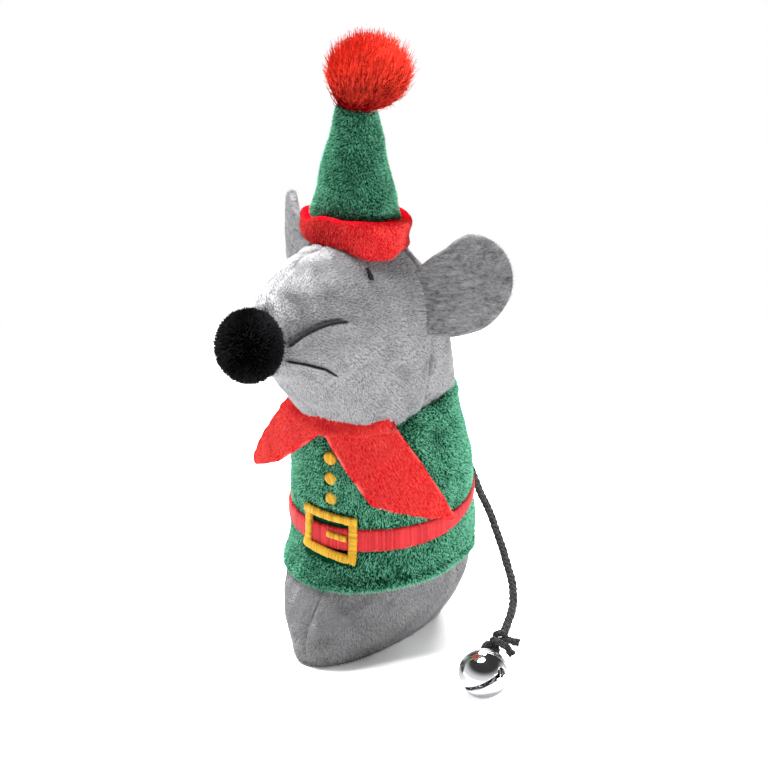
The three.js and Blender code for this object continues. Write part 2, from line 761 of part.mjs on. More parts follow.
// The frame of the bell: Z along its loop and X along its slit
function bellFrame() {
  const up = new THREE.Vector3(...bellLoopWay).normalize();
  const across = new THREE.Vector3().crossVectors(up, new THREE.Vector3(...bellSlitWay)).normalize();
  const along = new THREE.Vector3().crossVectors(across, up);
  return new THREE.Matrix4().makeBasis(along, across, up).setPosition(bellMiddle());
}

function loopCentre() {
  const up = new THREE.Vector3(...bellLoopWay).normalize();
  return bellMiddle().addScaledVector(up, bellDiameter / 2 + loopRise);
}

// The way through the loop, level and square to the bell's own axis
function loopThrough() {
  return new THREE.Vector3(...bellLoopWay).cross(new THREE.Vector3(0, 0, 1)).normalize();
}

// The turn of cord that runs from the knot through the bell's loop and back
function bightSolid() {
  const through = loopThrough();
  const toKnot = new THREE.Vector3(...knotPlace).sub(loopCentre());
  toKnot.addScaledVector(through, -toKnot.dot(through)).normalize();
  const normal = new THREE.Vector3().crossVectors(through, toKnot);
  const centre = loopCentre().addScaledVector(toKnot, bightDiameter / 2);
  const ring = new THREE.TorusGeometry(bightDiameter / 2, bightCordDiameter / 2, cordSides, ringSteps);
  const frame = new THREE.Matrix4().makeBasis(through, toKnot, normal).setPosition(centre);
  return solidFrom(outward(mergedBare(ring.applyMatrix4(frame))));
}

function shellProfile(side) {
  const outer = bellDiameter / 2;
  const inner = outer - bellWall;
  const arc = (radius, share) => [radius * Math.cos((share * Math.PI) / 2), radius * Math.sin((share * Math.PI) / 2)];
  const shares = Array.from({ length: bellArcSteps + 1 }, (_, place) => place / bellArcSteps);
  const outside = shares.map((share) => arc(outer, share));
  const inside = shares.map((share) => arc(inner, share)).reverse();
  const lip = [[outer + bellSeamLip, 0], [outer + bellSeamLip, bellWall]];
  const profile = [...lip, ...outside.slice(1), ...inside, lip[0]];
  return profile.map(([radius, height]) => [Math.max(radius, 0), side * (height + clearance / 2)]);
}

function addBell() {
  const frame = bellFrame();
  const inverse = frame.clone().invert();
  const bell = new THREE.Group();
  frame.decompose(bell.position, bell.quaternion, bell.scale);
  toy.add(bell);
  const ring = new THREE.TorusGeometry(loopDiameter / 2, loopWire / 2, threadSides, ringSteps);
  const through = loopThrough();
  const up = new THREE.Vector3(...bellLoopWay).normalize();
  const stand = new THREE.Matrix4().makeBasis(up, new THREE.Vector3().crossVectors(through, up), through);
  ring.applyMatrix4(stand.setPosition(loopCentre())).applyMatrix4(inverse);
  const hollow = solidFrom(new THREE.SphereGeometry((bellDiameter - bellWall) / 2, hollowSides, hollowSides / 2));
  const loop = solidFrom(outward(mergedBare(ring))).subtract(hollow);
  const upper = solidFrom(latheAbout(shellProfile(1), bellSides)).add(loop);
  addPiece("bell_upper_shell", upper, chrome, bell);
  const reach = bellDiameter / 2;
  const slit = boxSolid(2 * reach * Math.sin(bellHoleTurn), bellSlitWidth, reach, [0, 0, -reach]);
  const holes = [1, -1].map((side) => {
    const drill = new THREE.CylinderGeometry(bellHoleDiameter / 2, bellHoleDiameter / 2, reach, knotSides);
    drill.rotateX(Math.PI / 2).translate(0, 0, -reach).rotateY(-side * bellHoleTurn);
    return solidFrom(drill);
  });
  const cut = holes.reduce((sum, hole) => sum.add(hole), slit);
  addPiece("bell_lower_shell", solidFrom(latheAbout(shellProfile(-1), bellSides)).subtract(cut), chrome, bell);
  const pellet = addPiece("bell_pellet", ellipsoid(pelletDiameter, pelletDiameter, knotSides), chrome);
  const drop = bellDiameter / 2 - bellWall - clearance - pelletDiameter / 2;
  pellet.position.copy(bellMiddle()).add(new THREE.Vector3(0, 0, -drop));
}

addBody();
addHead();
addTunic();
addBelt();
addBuckle();
addButtons();
addFlap("collar_left_flap", leftFlapShares);
addFlap("collar_right_flap", rightFlapShares);
addHat();
addNose();
addEar("left_ear", 1, leftEarHeight);
addEar("right_ear", -1, rightEarHeight);
addFace();
addTail();
addBell();

export default toy;
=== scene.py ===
"""Dresses the plush mouse cat toy: pile, felt, embroidery, fur, yarn, braided cord and jingle bell."""

import json
import logging
import math
from dataclasses import dataclass, field
from enum import Enum

import bpy
import numpy as np
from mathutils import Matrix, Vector

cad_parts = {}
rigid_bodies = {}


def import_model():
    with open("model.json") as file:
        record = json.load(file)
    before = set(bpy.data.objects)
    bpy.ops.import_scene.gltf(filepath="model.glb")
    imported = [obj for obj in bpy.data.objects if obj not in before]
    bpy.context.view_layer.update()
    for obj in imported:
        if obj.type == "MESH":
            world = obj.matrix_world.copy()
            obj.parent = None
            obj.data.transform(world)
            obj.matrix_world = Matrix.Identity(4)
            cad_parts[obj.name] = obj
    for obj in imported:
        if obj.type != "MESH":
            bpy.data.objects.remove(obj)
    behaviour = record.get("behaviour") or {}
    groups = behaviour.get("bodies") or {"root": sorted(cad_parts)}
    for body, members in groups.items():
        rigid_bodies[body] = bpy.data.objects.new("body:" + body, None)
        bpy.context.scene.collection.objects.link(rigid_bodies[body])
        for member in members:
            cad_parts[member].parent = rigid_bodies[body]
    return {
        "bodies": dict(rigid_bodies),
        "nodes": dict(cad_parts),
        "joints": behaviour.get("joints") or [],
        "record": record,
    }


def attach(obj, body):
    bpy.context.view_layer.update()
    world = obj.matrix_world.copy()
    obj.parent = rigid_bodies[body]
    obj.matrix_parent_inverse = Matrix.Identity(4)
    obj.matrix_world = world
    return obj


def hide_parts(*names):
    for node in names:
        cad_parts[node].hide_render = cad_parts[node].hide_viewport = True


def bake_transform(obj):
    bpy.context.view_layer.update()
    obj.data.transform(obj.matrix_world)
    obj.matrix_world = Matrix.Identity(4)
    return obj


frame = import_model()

Array = np.ndarray
Piece = bpy.types.Object

log = logging.getLogger("toy")

MM = 0.001
BAKE_MAP = "OFBake"

# Clearances and cloth, in millimetres, as on the solids
CLEARANCE = 0.3
SEAM_GAP = 0.5
PLUSH_THICKNESS = 1.2
TUNIC_THICKNESS = 1.3
TUNIC_OUTER = CLEARANCE + TUNIC_THICKNESS
THREAD_THICKNESS = 0.7
# The cloth under the stitches is darker than the threads: painted shade in the gaps between stitches
UNDERLAY_PAINTED_SHADE = 0.2

DOWN = np.array([0.0, 0.0, -1.0])
UP = -DOWN
LEFT_AND_RIGHT = ((1, "left"), (-1, "right"))


# Small helpers


def srgb(red: int, green: int, blue: int) -> tuple[float, float, float, float]:
    """Turns a colour as it is seen, 0 to 255 a channel, into the renderer's linear one.

    Args:
        red: the red channel.
        green: the green channel.
        blue: the blue channel.

    Returns:
        The linear colour, with an alpha of 1.
    """

    def linear(value: int) -> float:
        """One channel of the colour."""
        share = value / 255
        return share / 12.92 if share <= 0.04045 else ((share + 0.055) / 1.055) ** 2.4

    return (linear(red), linear(green), linear(blue), 1.0)


def unit(vectors: Array) -> Array:
    """The same vectors, each of length one."""
    length = np.linalg.norm(vectors, axis=-1, keepdims=True)
    return vectors / np.maximum(length, 1e-9)


def smooth(low: float, high: float, value: Array) -> Array:
    """A smooth step from zero at low to one at high."""
    share = np.clip((value - low) / (high - low), 0, 1)
    return share * share * (3 - 2 * share)


def hump(distance: Array, width: float) -> Array:
    """One at no distance, falling away over a width."""
    return np.exp(-((distance / width) ** 2))


def ripple(points: Array, length: float, seed: int) -> Array:
    """A gentle unevenness between about minus one and one.

    Args:
        points: places in millimetres, with the three coordinates last.
        length: the length of the waves, in millimetres.
        seed: which set of waves.

    Returns:
        One value for each place.
    """
    chance = np.random.default_rng(seed)
    total = np.zeros(points.shape[:-1])
    waves = 7
    for _ in range(waves):
        way = unit(chance.normal(size=3))
        reach = chance.uniform(0.7, 1.5)
        total += np.sin(points @ way * (2 * math.pi / (length * reach)) + chance.uniform(0, 2 * math.pi))
    return total / math.sqrt(waves)


def swirl(points: Array, length: float, seed: int) -> Array:
    """Gentle changes of direction, for a nap that doesn't lie quite one way."""
    return np.stack([ripple(points, length, seed + axis) for axis in range(3)], axis=-1)


def turned_from(turn: Array, middle: float) -> Array:
    """How far turns are from another, the short way round."""
    return np.abs((turn - middle + math.pi) % (2 * math.pi) - math.pi)


def cardinal(rows: Array, value: Array) -> Array:
    """Reads a smooth curve through the rows of a table.

    Args:
        rows: the table, whose first column climbs.
        value: values of the first column, of any shape.

    Returns:
        The table's columns at each value, with the columns last.
    """
    count = len(rows)
    place = np.clip(np.searchsorted(rows[1:, 0], value, side="left"), 0, count - 2)
    start, end = rows[place], rows[place + 1]
    before, after = rows[np.maximum(place - 1, 0)], rows[np.minimum(place + 2, count - 1)]
    span = end[..., :1] - start[..., :1]
    share = (value[..., None] - start[..., :1]) / span
    slope_in = (end - before) / (end[..., :1] - before[..., :1]) * span
    slope_out = (after - start) / (after[..., :1] - start[..., :1]) * span
    squared, cubed = share**2, share**3
    return (
        (2 * cubed - 3 * squared + 1) * start
        + (cubed - 2 * squared + share) * slope_in
        + (3 * squared - 2 * cubed) * end
        + (cubed - squared) * slope_out
    )


def through(points: Array, count: int, closed: bool = False) -> Array:
    """A smooth line through points, in steps of even length.

    Args:
        points: the points, one a row.
        count: how many points the line gets.
        closed: whether the line runs back to its start.

    Returns:
        The line's points.
    """
    points = np.asarray(points, float)
    ring = np.vstack([points, points[:1]]) if closed else points
    if closed:
        before, after = points[-1:], points[1:2]
    else:
        before, after = 2 * ring[:1] - ring[1:2], 2 * ring[-1:] - ring[-2:-1]
    guard = np.vstack([before, ring, after])
    fine = []
    steps = 24
    for place in range(len(ring) - 1):
        p0, p1, p2, p3 = guard[place : place + 4]
        for share in np.arange(steps) / steps:
            fine.append(
                0.5 * (2 * p1 + (p2 - p0) * share + (2 * p0 - 5 * p1 + 4 * p2 - p3) * share**2
                       + (3 * p1 - p0 - 3 * p2 + p3) * share**3)
            )
    fine = np.array([*fine, ring[-1]])
    travelled = np.concatenate([[0], np.cumsum(np.linalg.norm(np.diff(fine, axis=0), axis=1))])
    wanted = np.linspace(0, travelled[-1], count, endpoint=not closed)
    return np.stack([np.interp(wanted, travelled, fine[:, axis]) for axis in range(3)], axis=1)


def path_frames(path: Array) -> tuple[Array, Array, Array]:
    """Directions along a path that turn with it as little as they can.

    Args:
        path: the path's points.

    Returns:
        The direction along the path, and two more square to it and to each other.
    """
    along = unit(np.gradient(path, axis=0))
    start = np.cross(along[0], UP)
    side = [start / np.linalg.norm(start)]
    for way in along[1:]:
        carried = side[-1] - way * (side[-1] @ way)
        side.append(carried / np.linalg.norm(carried))
    side = np.array(side)
    return along, side, np.cross(along, side)


def circle(middle: Array, first: Array, second: Array, count: int) -> Array:
    """A closed loop round a middle, whose half axes are two vectors."""
    angle = np.linspace(0, 2 * math.pi, count)[:, None]
    return middle + first * np.cos(angle) + second * np.sin(angle)


def egg(width: float, height: float, count: int) -> Array:
    """The profile of a ball of a width and a height, from its bottom up."""
    tilt = np.linspace(0, math.pi, count)
    return np.stack([np.sin(tilt) * width / 2, -np.cos(tilt) * height / 2], axis=1)


# Node trees


class Wire:
    """The output of a node, which Python's operators combine by adding nodes."""

    def __init__(self, tree: "NodeTree", socket: bpy.types.NodeSocket) -> None:
        """Keeps the tree and the socket."""
        self.tree = tree
        self.socket = socket

    @property
    def is_vector(self) -> bool:
        """Whether the socket carries a vector, so that Vector Math is used."""
        return self.socket.type in {"VECTOR", "RGBA"}

    def _combine(self, operation: str, first: "Operand", second: "Operand") -> "Wire":
        """Adds the node for one operation on two operands.

        Args:
            operation: the node's operation.
            first: the first operand.
            second: the second operand.

        Returns:
            The node's output.
        """
        if not any(isinstance(item, Wire) and item.is_vector for item in (first, second)):
            return self.tree.wire("ShaderNodeMath", {"operation": operation}, {0: first, 1: second})
        if operation != "MULTIPLY" or all(_is_vector(item) for item in (first, second)):
            return self.tree.vector_maths(operation, first, second)
        vector, number = (first, second) if _is_vector(first) else (second, first)
        return self.tree.wire("ShaderNodeVectorMath", {"operation": "SCALE"}, {0: vector, "Scale": number})

    def __add__(self, other: "Operand") -> "Wire":
        """The sum."""
        return self._combine("ADD", self, other)

    def __radd__(self, other: "Operand") -> "Wire":
        """The sum, with the wire on the right."""
        return self._combine("ADD", other, self)

    def __sub__(self, other: "Operand") -> "Wire":
        """The difference."""
        return self._combine("SUBTRACT", self, other)

    def __rsub__(self, other: "Operand") -> "Wire":
        """The difference, with the wire on the right."""
        return self._combine("SUBTRACT", other, self)

    def __mul__(self, other: "Operand") -> "Wire":
        """The product."""
        return self._combine("MULTIPLY", self, other)

    def __rmul__(self, other: "Operand") -> "Wire":
        """The product, with the wire on the right."""
        return self._combine("MULTIPLY", other, self)


Operand = Wire | float | tuple | Vector


def _is_vector(item: Operand) -> bool:
    """Whether an operand is a vector."""
    return item.is_vector if isinstance(item, Wire) else isinstance(item, (tuple, Vector))


class NodeTree:
    """A node tree that is written as calls and expressions."""

    def __init__(self, tree: bpy.types.NodeTree) -> None:
        """Starts with an empty tree."""
        self.tree = tree
        self.tree.nodes.clear()

    def node(self, kind: str, settings: dict | None = None, values: dict | None = None) -> bpy.types.Node:
        """Adds a node.

        Args:
            kind: the node's type.
            settings: its properties, and under "stops" a ramp's places and colours.
            values: numbers, or wires, for its sockets by name or number.

        Returns:
            The new node.
        """
        made = self.tree.nodes.new(kind)
        for key, value in (settings or {}).items():
            if key == "stops":
                ramp = made.color_ramp.elements
                while len(ramp) < len(value):
                    ramp.new(0.5)
                for stop, (place, colour) in zip(ramp, value):
                    stop.position, stop.color = place, colour
            else:
                setattr(made, key, value)
        for key, value in (values or {}).items():
            socket = made.inputs[key] if isinstance(key, int) else self.found(made.inputs, key)
            if isinstance(value, Wire):
                self.tree.links.new(value.socket, socket)
            else:
                socket.default_value = value
        return made

    @staticmethod
    def found(sockets: bpy.types.bpy_prop_collection, name: str) -> bpy.types.NodeSocket:
        """The socket of that name that is in use, as some nodes have one for each kind of value."""
        return next(socket for socket in sockets if socket.name == name and not socket.is_unavailable)

    def wire(
        self, kind: str, settings: dict | None = None, values: dict | None = None, output: str | int = 0
    ) -> Wire:
        """Adds a node and returns one of its outputs.

        Args:
            kind: the node's type.
            settings: its properties.
            values: numbers or wires for its sockets.
            output: the output's name, or its number among those in use.

        Returns:
            The output as a wire.
        """
        made = self.node(kind, settings, values)
        if isinstance(output, int):
            usable = [socket for socket in made.outputs if not socket.is_unavailable]
            return Wire(self, usable[output])
        return Wire(self, self.found(made.outputs, output))

    def vector_maths(self, operation: str, *operands: "Operand") -> Wire:
        """A Vector Math node on its operands."""
        return self.wire("ShaderNodeVectorMath", {"operation": operation}, dict(enumerate(operands)))

    def split(self, vector: Wire) -> list[Wire]:
        """The three numbers of a vector."""
        parts = self.node("ShaderNodeSeparateXYZ", values={0: vector})
        return [Wire(self, socket) for socket in parts.outputs]


class Shader(NodeTree):
    """A material's node tree."""

    def __init__(self, name: str) -> None:
        """Starts the material of that name.

        Args:
            name: the material's name.
        """
        self.material = bpy.data.materials.new(dressing(name))
        self.material.use_nodes = True
        super().__init__(self.material.node_tree)
        self.place = self.wire("ShaderNodeTexCoord", output="Object")

    def noise(
        self, size: float, detail: float = 3, stretch: tuple | None = None, turn: tuple = (0, 0, 0)
    ) -> Wire:
        """Noise on the piece's own coordinates.

        Args:
            size: the size of its patches, in millimetres.
            detail: how many finer layers it has.
            stretch: how much finer it is along each axis.
            turn: how far the pattern is turned about each axis, in radians.

        Returns:
            The noise, about zero to one.
        """
        place = self.place
        if stretch:
            mapping = {"Vector": place, "Rotation": turn, "Scale": stretch}
            place = self.wire("ShaderNodeMapping", values=mapping)
        values = {"Vector": place, "Scale": 1 / (size * MM), "Detail": detail, "Roughness": 0.6}
        return self.wire("ShaderNodeTexNoise", values=values, output="Fac")

    def attribute(self, name: str) -> Wire:
        """A number that the mesh carries."""
        return self.wire("ShaderNodeAttribute", {"attribute_name": name}, output="Fac")

    def stretched(self, value: Wire, low: float, high: float, bottom: float = 0, top: float = 1) -> Wire:
        """Maps the range from low to high onto bottom to top, and holds it there."""
        values = {"Value": value, "From Min": low, "From Max": high, "To Min": bottom, "To Max": top}
        return self.wire("ShaderNodeMapRange", {"clamp": True}, values)

    def mixed(self, share: Operand, first: Operand, second: Operand) -> Wire:
        """A colour between two, by a share of the second."""
        values = {"Factor": share, "A": first, "B": second}
        return self.wire("ShaderNodeMix", {"data_type": "RGBA", "clamp_factor": True}, values)

    def bump(self, height: Wire, strength: float, distance: float) -> Wire:
        """A normal that a height bends, with the distance in millimetres."""
        values = {"Height": height, "Strength": strength, "Distance": distance * MM}
        return self.wire("ShaderNodeBump", values=values)

    def finish(self, **values: Operand) -> bpy.types.Material:
        """Ends the tree in a Principled shader.

        Args:
            values: numbers or wires for its sockets, with underscores for spaces in their names.

        Returns:
            The finished material.
        """
        named = {key.replace("_", " "): value for key, value in values.items()}
        skin = self.wire("ShaderNodeBsdfPrincipled", values=named)
        self.node("ShaderNodeOutputMaterial", values={"Surface": skin})
        return self.material


# Finishes


def dressing(name: str) -> str:
    """The name of a material of this scene, apart from the solids' own."""
    return f"{name}_dressing"


@dataclass(frozen=True)
class Plush:
    """Short pile: darkened between its tufts by painted shade, pale at their tips by painted sheen, and pale
    where it catches the light.

    Patch and grain are the sizes of its uneven places, in millimetres. Mottle and speckle are how much the
    colour changes with them and from tuft to tuft; the tip weight is how much painted sheen lightens the tips
    and painted shade deepens the roots, and root is how dark the painted shade leaves the roots.
    """

    name: str
    deep: tuple
    pale: tuple
    patch: float = 5
    grain: float = 0.9
    mottle: float = 0.8
    speckle: float = 0.5
    # Painted sheen at the tips and painted shade at the roots
    painted_sheen_shade: float = 0.5
    sheen: float = 0.2
    # How dark the painted shade at the roots is
    root: float = 0.7
    middle: float = 0.5

    def material(self) -> bpy.types.Material:
        """Builds the pile's material.

        Returns:
            The material.
        """
        shader = Shader(self.name)
        patches = shader.noise(self.patch, 2)
        grain = shader.noise(self.grain, 2)
        tuft, tip = shader.attribute("tuft"), shader.attribute("tip")
        share = (patches - 0.5) * self.mottle + (grain - 0.5) * self.mottle + self.middle
        # Painted sheen makes the tips paler and painted shade makes the roots deeper
        share = share + (tuft - 0.5) * self.speckle + (tip - 0.45) * self.painted_sheen_shade
        colour = shader.mixed(shader.stretched(share, 0, 1), self.deep, self.pale)
        # Painted shade: darker towards the roots, and darkest on the cloth under the tufts, which has no tip
        # share
        colour = colour * shader.stretched(tip, 0, 0.7, self.root, 1)
        return shader.finish(
            Base_Color=colour,
            Roughness=0.9,
            Specular_IOR_Level=0.0,
            Sheen_Weight=self.sheen,
            Sheen_Roughness=0.4,
            Sheen_Tint=self.pale,
            Normal=shader.bump(grain, 0.5, 0.3),
        )


@dataclass(frozen=True)
class Felt:
    """Pressed felt: streaks of lighter and darker fibre that run mostly one way."""

    name: str
    deep: tuple
    pale: tuple
    turn: tuple
    streak: float = 1.6
    fleck: float = 0.5
    cloud: float = 5
    streak_stretch: tuple = (0.55, 1, 1.7)
    fleck_stretch: tuple = (0.4, 1, 1.6)

    def material(self) -> bpy.types.Material:
        """Builds the felt's material.

        Returns:
            The material.
        """
        shader = Shader(self.name)
        streaks = shader.noise(self.streak, 4, self.streak_stretch, self.turn)
        flecks = shader.noise(self.fleck, 3, self.fleck_stretch, self.turn)
        clouds = shader.noise(self.cloud, 2)
        tuft = shader.attribute("tuft")
        share = (streaks - 0.5) * 1.3 + (flecks - 0.5) * 0.9 + (clouds - 0.5) * 0.5 + 0.42 + tuft * 0.2
        colour = shader.mixed(shader.stretched(share, 0, 1), self.deep, self.pale)
        return shader.finish(
            Base_Color=colour,
            Roughness=0.95,
            Specular_IOR_Level=0.0,
            Sheen_Weight=0.15,
            Sheen_Roughness=0.5,
            Normal=shader.bump(streaks + flecks * 0.7, 0.9, 0.5),
        )


@dataclass(frozen=True)
class Thread:
    """Embroidery or sewing thread, a little lighter and darker from strand to strand."""

    name: str
    deep: tuple
    pale: tuple
    gloss: float = 0.42
    sheen: float = 0.3
    grain: float = 0.35

    def material(self) -> bpy.types.Material:
        """Builds the thread's material.

        Returns:
            The material.
        """
        shader = Shader(self.name)
        tuft = shader.attribute("tuft")
        fine = shader.noise(self.grain, 2)
        share = tuft * 0.65 + (fine - 0.5) * 0.9 + 0.15
        colour = shader.mixed(shader.stretched(share, 0, 1), self.deep, self.pale)
        return shader.finish(
            Base_Color=colour,
            Roughness=self.gloss,
            Specular_IOR_Level=0.2,
            Sheen_Weight=self.sheen,
            Normal=shader.bump(fine, 0.4, 0.1),
        )


@dataclass(frozen=True)
class Chrome:
    """Bright plating with faint smudges and the hairlines of tumbling."""

    name: str = "bell_chrome"
    colour: tuple = srgb(226, 226, 229)
    smudge: float = 2.5
    hair: float = 0.5
    hair_stretch: tuple = (1, 1, 14)

    def material(self) -> bpy.types.Material:
        """Builds the plating's material.

        Returns:
            The material.
        """
        shader = Shader(self.name)
        smudge = shader.stretched(shader.noise(self.smudge, 3), 0.45, 0.75)
        hairs = shader.noise(self.hair, 2, self.hair_stretch)
        return shader.finish(
            Base_Color=self.colour,
            Metallic=1.0,
            Roughness=smudge * 0.1 + 0.05,
            Normal=shader.bump(hairs, 0.04, 0.03),
        )


class Finishes(Enum):
    """The materials of the toy, one for each of the record's slots."""

    GREY_PLUSH = Plush(
        "grey_plush", srgb(130, 130, 132), srgb(204, 204, 206), grain=0.8, mottle=0.4, speckle=0.45, root=0.8
    )
    # Deep roots and pale tips: painted shade and painted sheen, for a velvet look
    GREEN_PLUSH = Plush(
        "green_plush", srgb(0, 92, 62), srgb(144, 234, 194),
        patch=2.6, grain=0.7, mottle=1.1, speckle=0.8, painted_sheen_shade=1.1, sheen=0.5, root=0.42, middle=0.48,
    )
    RED_PLUSH = Plush(
        "red_plush", srgb(226, 6, 29), srgb(255, 102, 94),
        grain=0.8, mottle=0.4, speckle=0.4, painted_sheen_shade=0.7, sheen=0.13, root=0.8,
    )
    # Dark but for the strand tips: painted shade inside the pompom and painted sheen at its tips
    RED_FUR = Plush(
        "red_fur", srgb(150, 0, 12), srgb(255, 84, 64),
        patch=7, mottle=1.0, painted_sheen_shade=1.4, sheen=0.1, root=0.3, middle=0.14,
    )
    BLACK_YARN = Plush(
        "black_yarn", srgb(3, 3, 4), srgb(48, 48, 50),
        patch=3, grain=0.6, speckle=0.9, painted_sheen_shade=0.8, sheen=0.05, root=0.4, middle=0.36,
    )
    GREY_FELT = Felt("grey_felt", srgb(64, 64, 66), srgb(168, 168, 170), (0, 0, math.radians(-43)))
    RED_THREAD = Thread("red_thread", srgb(180, 4, 22), srgb(240, 58, 62), gloss=0.5, sheen=0.1)
    GOLD_THREAD = Thread("gold_thread", srgb(198, 132, 10), srgb(250, 208, 60), gloss=0.45, sheen=0.1)
    BLACK_THREAD = Thread("black_thread", srgb(4, 4, 5), srgb(24, 24, 26), gloss=0.6, sheen=0.05)
    BLACK_CORD = Thread("black_cord", srgb(8, 8, 9), srgb(48, 48, 50), gloss=0.55, sheen=0.15)
    WHITE_FIBRE = Plush("white_fibre", srgb(205, 205, 205), srgb(246, 246, 246))
    SACHET_CLOTH = Thread("sachet_cloth", srgb(176, 168, 140), srgb(216, 208, 184), gloss=0.9)
    BELL_CHROME = Chrome()

    def material(self) -> bpy.types.Material:
        """The material, which is built when it is first asked for."""
        return bpy.data.materials.get(dressing(self.value.name)) or self.value.material()


# Meshes


FIELD_WIDTHS = {"cover": 1, "tuft": 1, "tip": 1, "reach": 1, "comb": 3, "out": 3}


@dataclass
class Surface:
    """A mesh in millimetres that is being put together, with what pile and stitches need at each vertex.

    Cover is how much pile grows there and comb the way that it lies. Tuft is the shade of a thread. A stitch
    is a loose point with a reach, its length, and out, the way that it faces, and lies along comb.
    """

    points: list[Array] = field(default_factory=list)
    faces: list[tuple[int, ...]] = field(default_factory=list)
    fields: dict[str, list[Array]] = field(default_factory=lambda: {name: [] for name in FIELD_WIDTHS})
    count: int = 0

    def add(self, points: Array, faces: list[tuple[int, ...]], **values: Array | float) -> None:
        """Adds points with their faces, which count from the first of those points.

        Args:
            points: the points, one a row.
            faces: the faces, as numbers of the points.
            values: values of the fields, for all the points or for each.
        """
        number = len(points)
        self.faces.extend(tuple(corner + self.count for corner in face) for face in faces)
        self.points.append(points)
        for name, width in FIELD_WIDTHS.items():
            shape = (number,) if width == 1 else (number, width)
            self.fields[name].append(np.broadcast_to(values.get(name, 0.0), shape))
        self.count += number

    def piece(self, name: str, finish: Finishes) -> Piece:
        """Makes the object, in metres, with its material and fields.

        Args:
            name: the object's name.
            finish: what it is dressed in.

        Returns:
            The new object.
        """
        mesh = bpy.data.meshes.new(name)
        mesh.from_pydata((np.vstack(self.points) * MM).tolist(), [], self.faces)
        for label, width in FIELD_WIDTHS.items():
            kind, key = ("FLOAT", "value") if width == 1 else ("FLOAT_VECTOR", "vector")
            layer = mesh.attributes.new(label, kind, "POINT")
            layer.data.foreach_set(key, np.concatenate(self.fields[label]).astype(np.float32).ravel())
        mesh.polygons.foreach_set("use_smooth", [True] * len(mesh.polygons))
        mesh.materials.append(finish.material())
        made = bpy.data.objects.new(name, mesh)
        bpy.context.scene.collection.objects.link(made)
        return outward(made)


def grid_faces(rows: int, columns: int, closed: bool, start: int = 0, turned: bool = False) -> list[tuple]:
    """The quads between rows and columns of points.

    Args:
        rows: how many rows of points there are.
        columns: how many points are in a row.
        closed: whether a row's last point meets its first.
        start: the number of the first point.
        turned: whether the faces point the other way.

    Returns:
        The faces.
    """
    faces = []
    for row in range(rows - 1):
        for column in range(columns if closed else columns - 1):
            after = (column + 1) % columns
            a, b = start + row * columns + column, start + row * columns + after
            quad = (a, b, b + columns, a + columns)
            faces.append(quad[::-1] if turned else quad)
    return faces


def shell(outer: Array, inner: Array, closed: bool, domed: bool = False) -> list[tuple]:
    """The faces of a closed sheet between two grids of points, outer first.

    Args:
        outer: rows and columns of points, whose quads face out.
        inner: as many points on the other side; not used.
        closed: whether each row runs back to its start.
        domed: whether the last row is closed by a face on each side.

    Returns:
        The faces, with the inner points numbered after the outer ones.
    """
    rows, columns = outer.shape[:2]
    offset = rows * columns
    last = (rows - 1) * columns
    faces = grid_faces(rows, columns, closed) + grid_faces(rows, columns, closed, offset, True)
    for column in range(columns if closed else columns - 1):
        after = (column + 1) % columns
        faces.append((after, column, column + offset, after + offset))
        if not domed:
            faces.append((last + column, last + after, last + after + offset, last + column + offset))
    if domed:
        faces.append(tuple(last + column for column in range(columns)))
        faces.append(tuple(last + offset + column for column in range(columns))[::-1])
    if not closed:
        for row in range(rows - 1):
            first, second = row * columns, (row + 1) * columns
            faces.append((first, second, second + offset, first + offset))
            first, second = first + columns - 1, second + columns - 1
            faces.append((second, first, first + offset, second + offset))
    return faces


def capped(rows: int, columns: int) -> list[tuple]:
    """The faces between rings of points, and one that closes each end."""
    first, last = range(columns), range((rows - 1) * columns, rows * columns)
    return [*grid_faces(rows, columns, True), tuple(first)[::-1], tuple(last)]


def cloth(
    outer: Array,
    inner: Array,
    closed: bool = False,
    domed: bool = False,
    **values: Array | float,
) -> Surface:
    """A closed sheet of cloth between two grids, whose fields hold for its outside only.

    Args:
        outer: rows and columns of points on its outside.
        inner: as many points on its inside.
        closed: whether each row runs back to its start.
        domed: whether the last row is closed over.
        values: the fields on the outside, as grids or numbers.

    Returns:
        The sheet.
    """
    made = Surface()
    grids = outer.shape[:2]
    both = {}
    for name, given in values.items():
        width = FIELD_WIDTHS[name]
        shape = grids if width == 1 else (*grids, width)
        outside = np.broadcast_to(given, shape).reshape(grids[0] * grids[1], -1)
        both[name] = np.concatenate([outside, np.zeros_like(outside)])
        if width == 1:
            both[name] = both[name][:, 0]
    points = np.concatenate([outer.reshape(-1, 3), inner.reshape(-1, 3)])
    made.add(points, shell(outer, inner, closed, domed), **both)
    return made


def solid(rings: Array, **values: Array | float) -> Surface:
    """A closed solid lofted through rings of points.

    Args:
        rings: rows and columns of points, where each row runs back to its start.
        values: the fields at every point.

    Returns:
        The solid.
    """
    made = Surface()
    rows, columns = rings.shape[:2]
    flat = {name: np.asarray(given).reshape(rows * columns, -1) for name, given in values.items()}
    flat = {name: given[:, 0] if FIELD_WIDTHS[name] == 1 else given for name, given in flat.items()}
    made.add(rings.reshape(-1, 3), capped(rows, columns), **flat)
    return made


def lathe(profile: list | Array, sides: int) -> Array:
    """Rings about the upright axis, one for each radius and height of a profile.

    Args:
        profile: each ring's radius and height.
        sides: how many points a ring has.

    Returns:
        A grid of points, one row for each ring.
    """
    least = 0.002
    profile = np.asarray(profile, float)
    turn = np.arange(sides) / sides * 2 * math.pi
    ring = np.stack([np.cos(turn), np.sin(turn)], axis=1)
    flat = np.maximum(profile[:, None, :1], least) * ring[None]
    return np.concatenate([flat, np.repeat(profile[:, None, 1:], sides, axis=1)], axis=2)


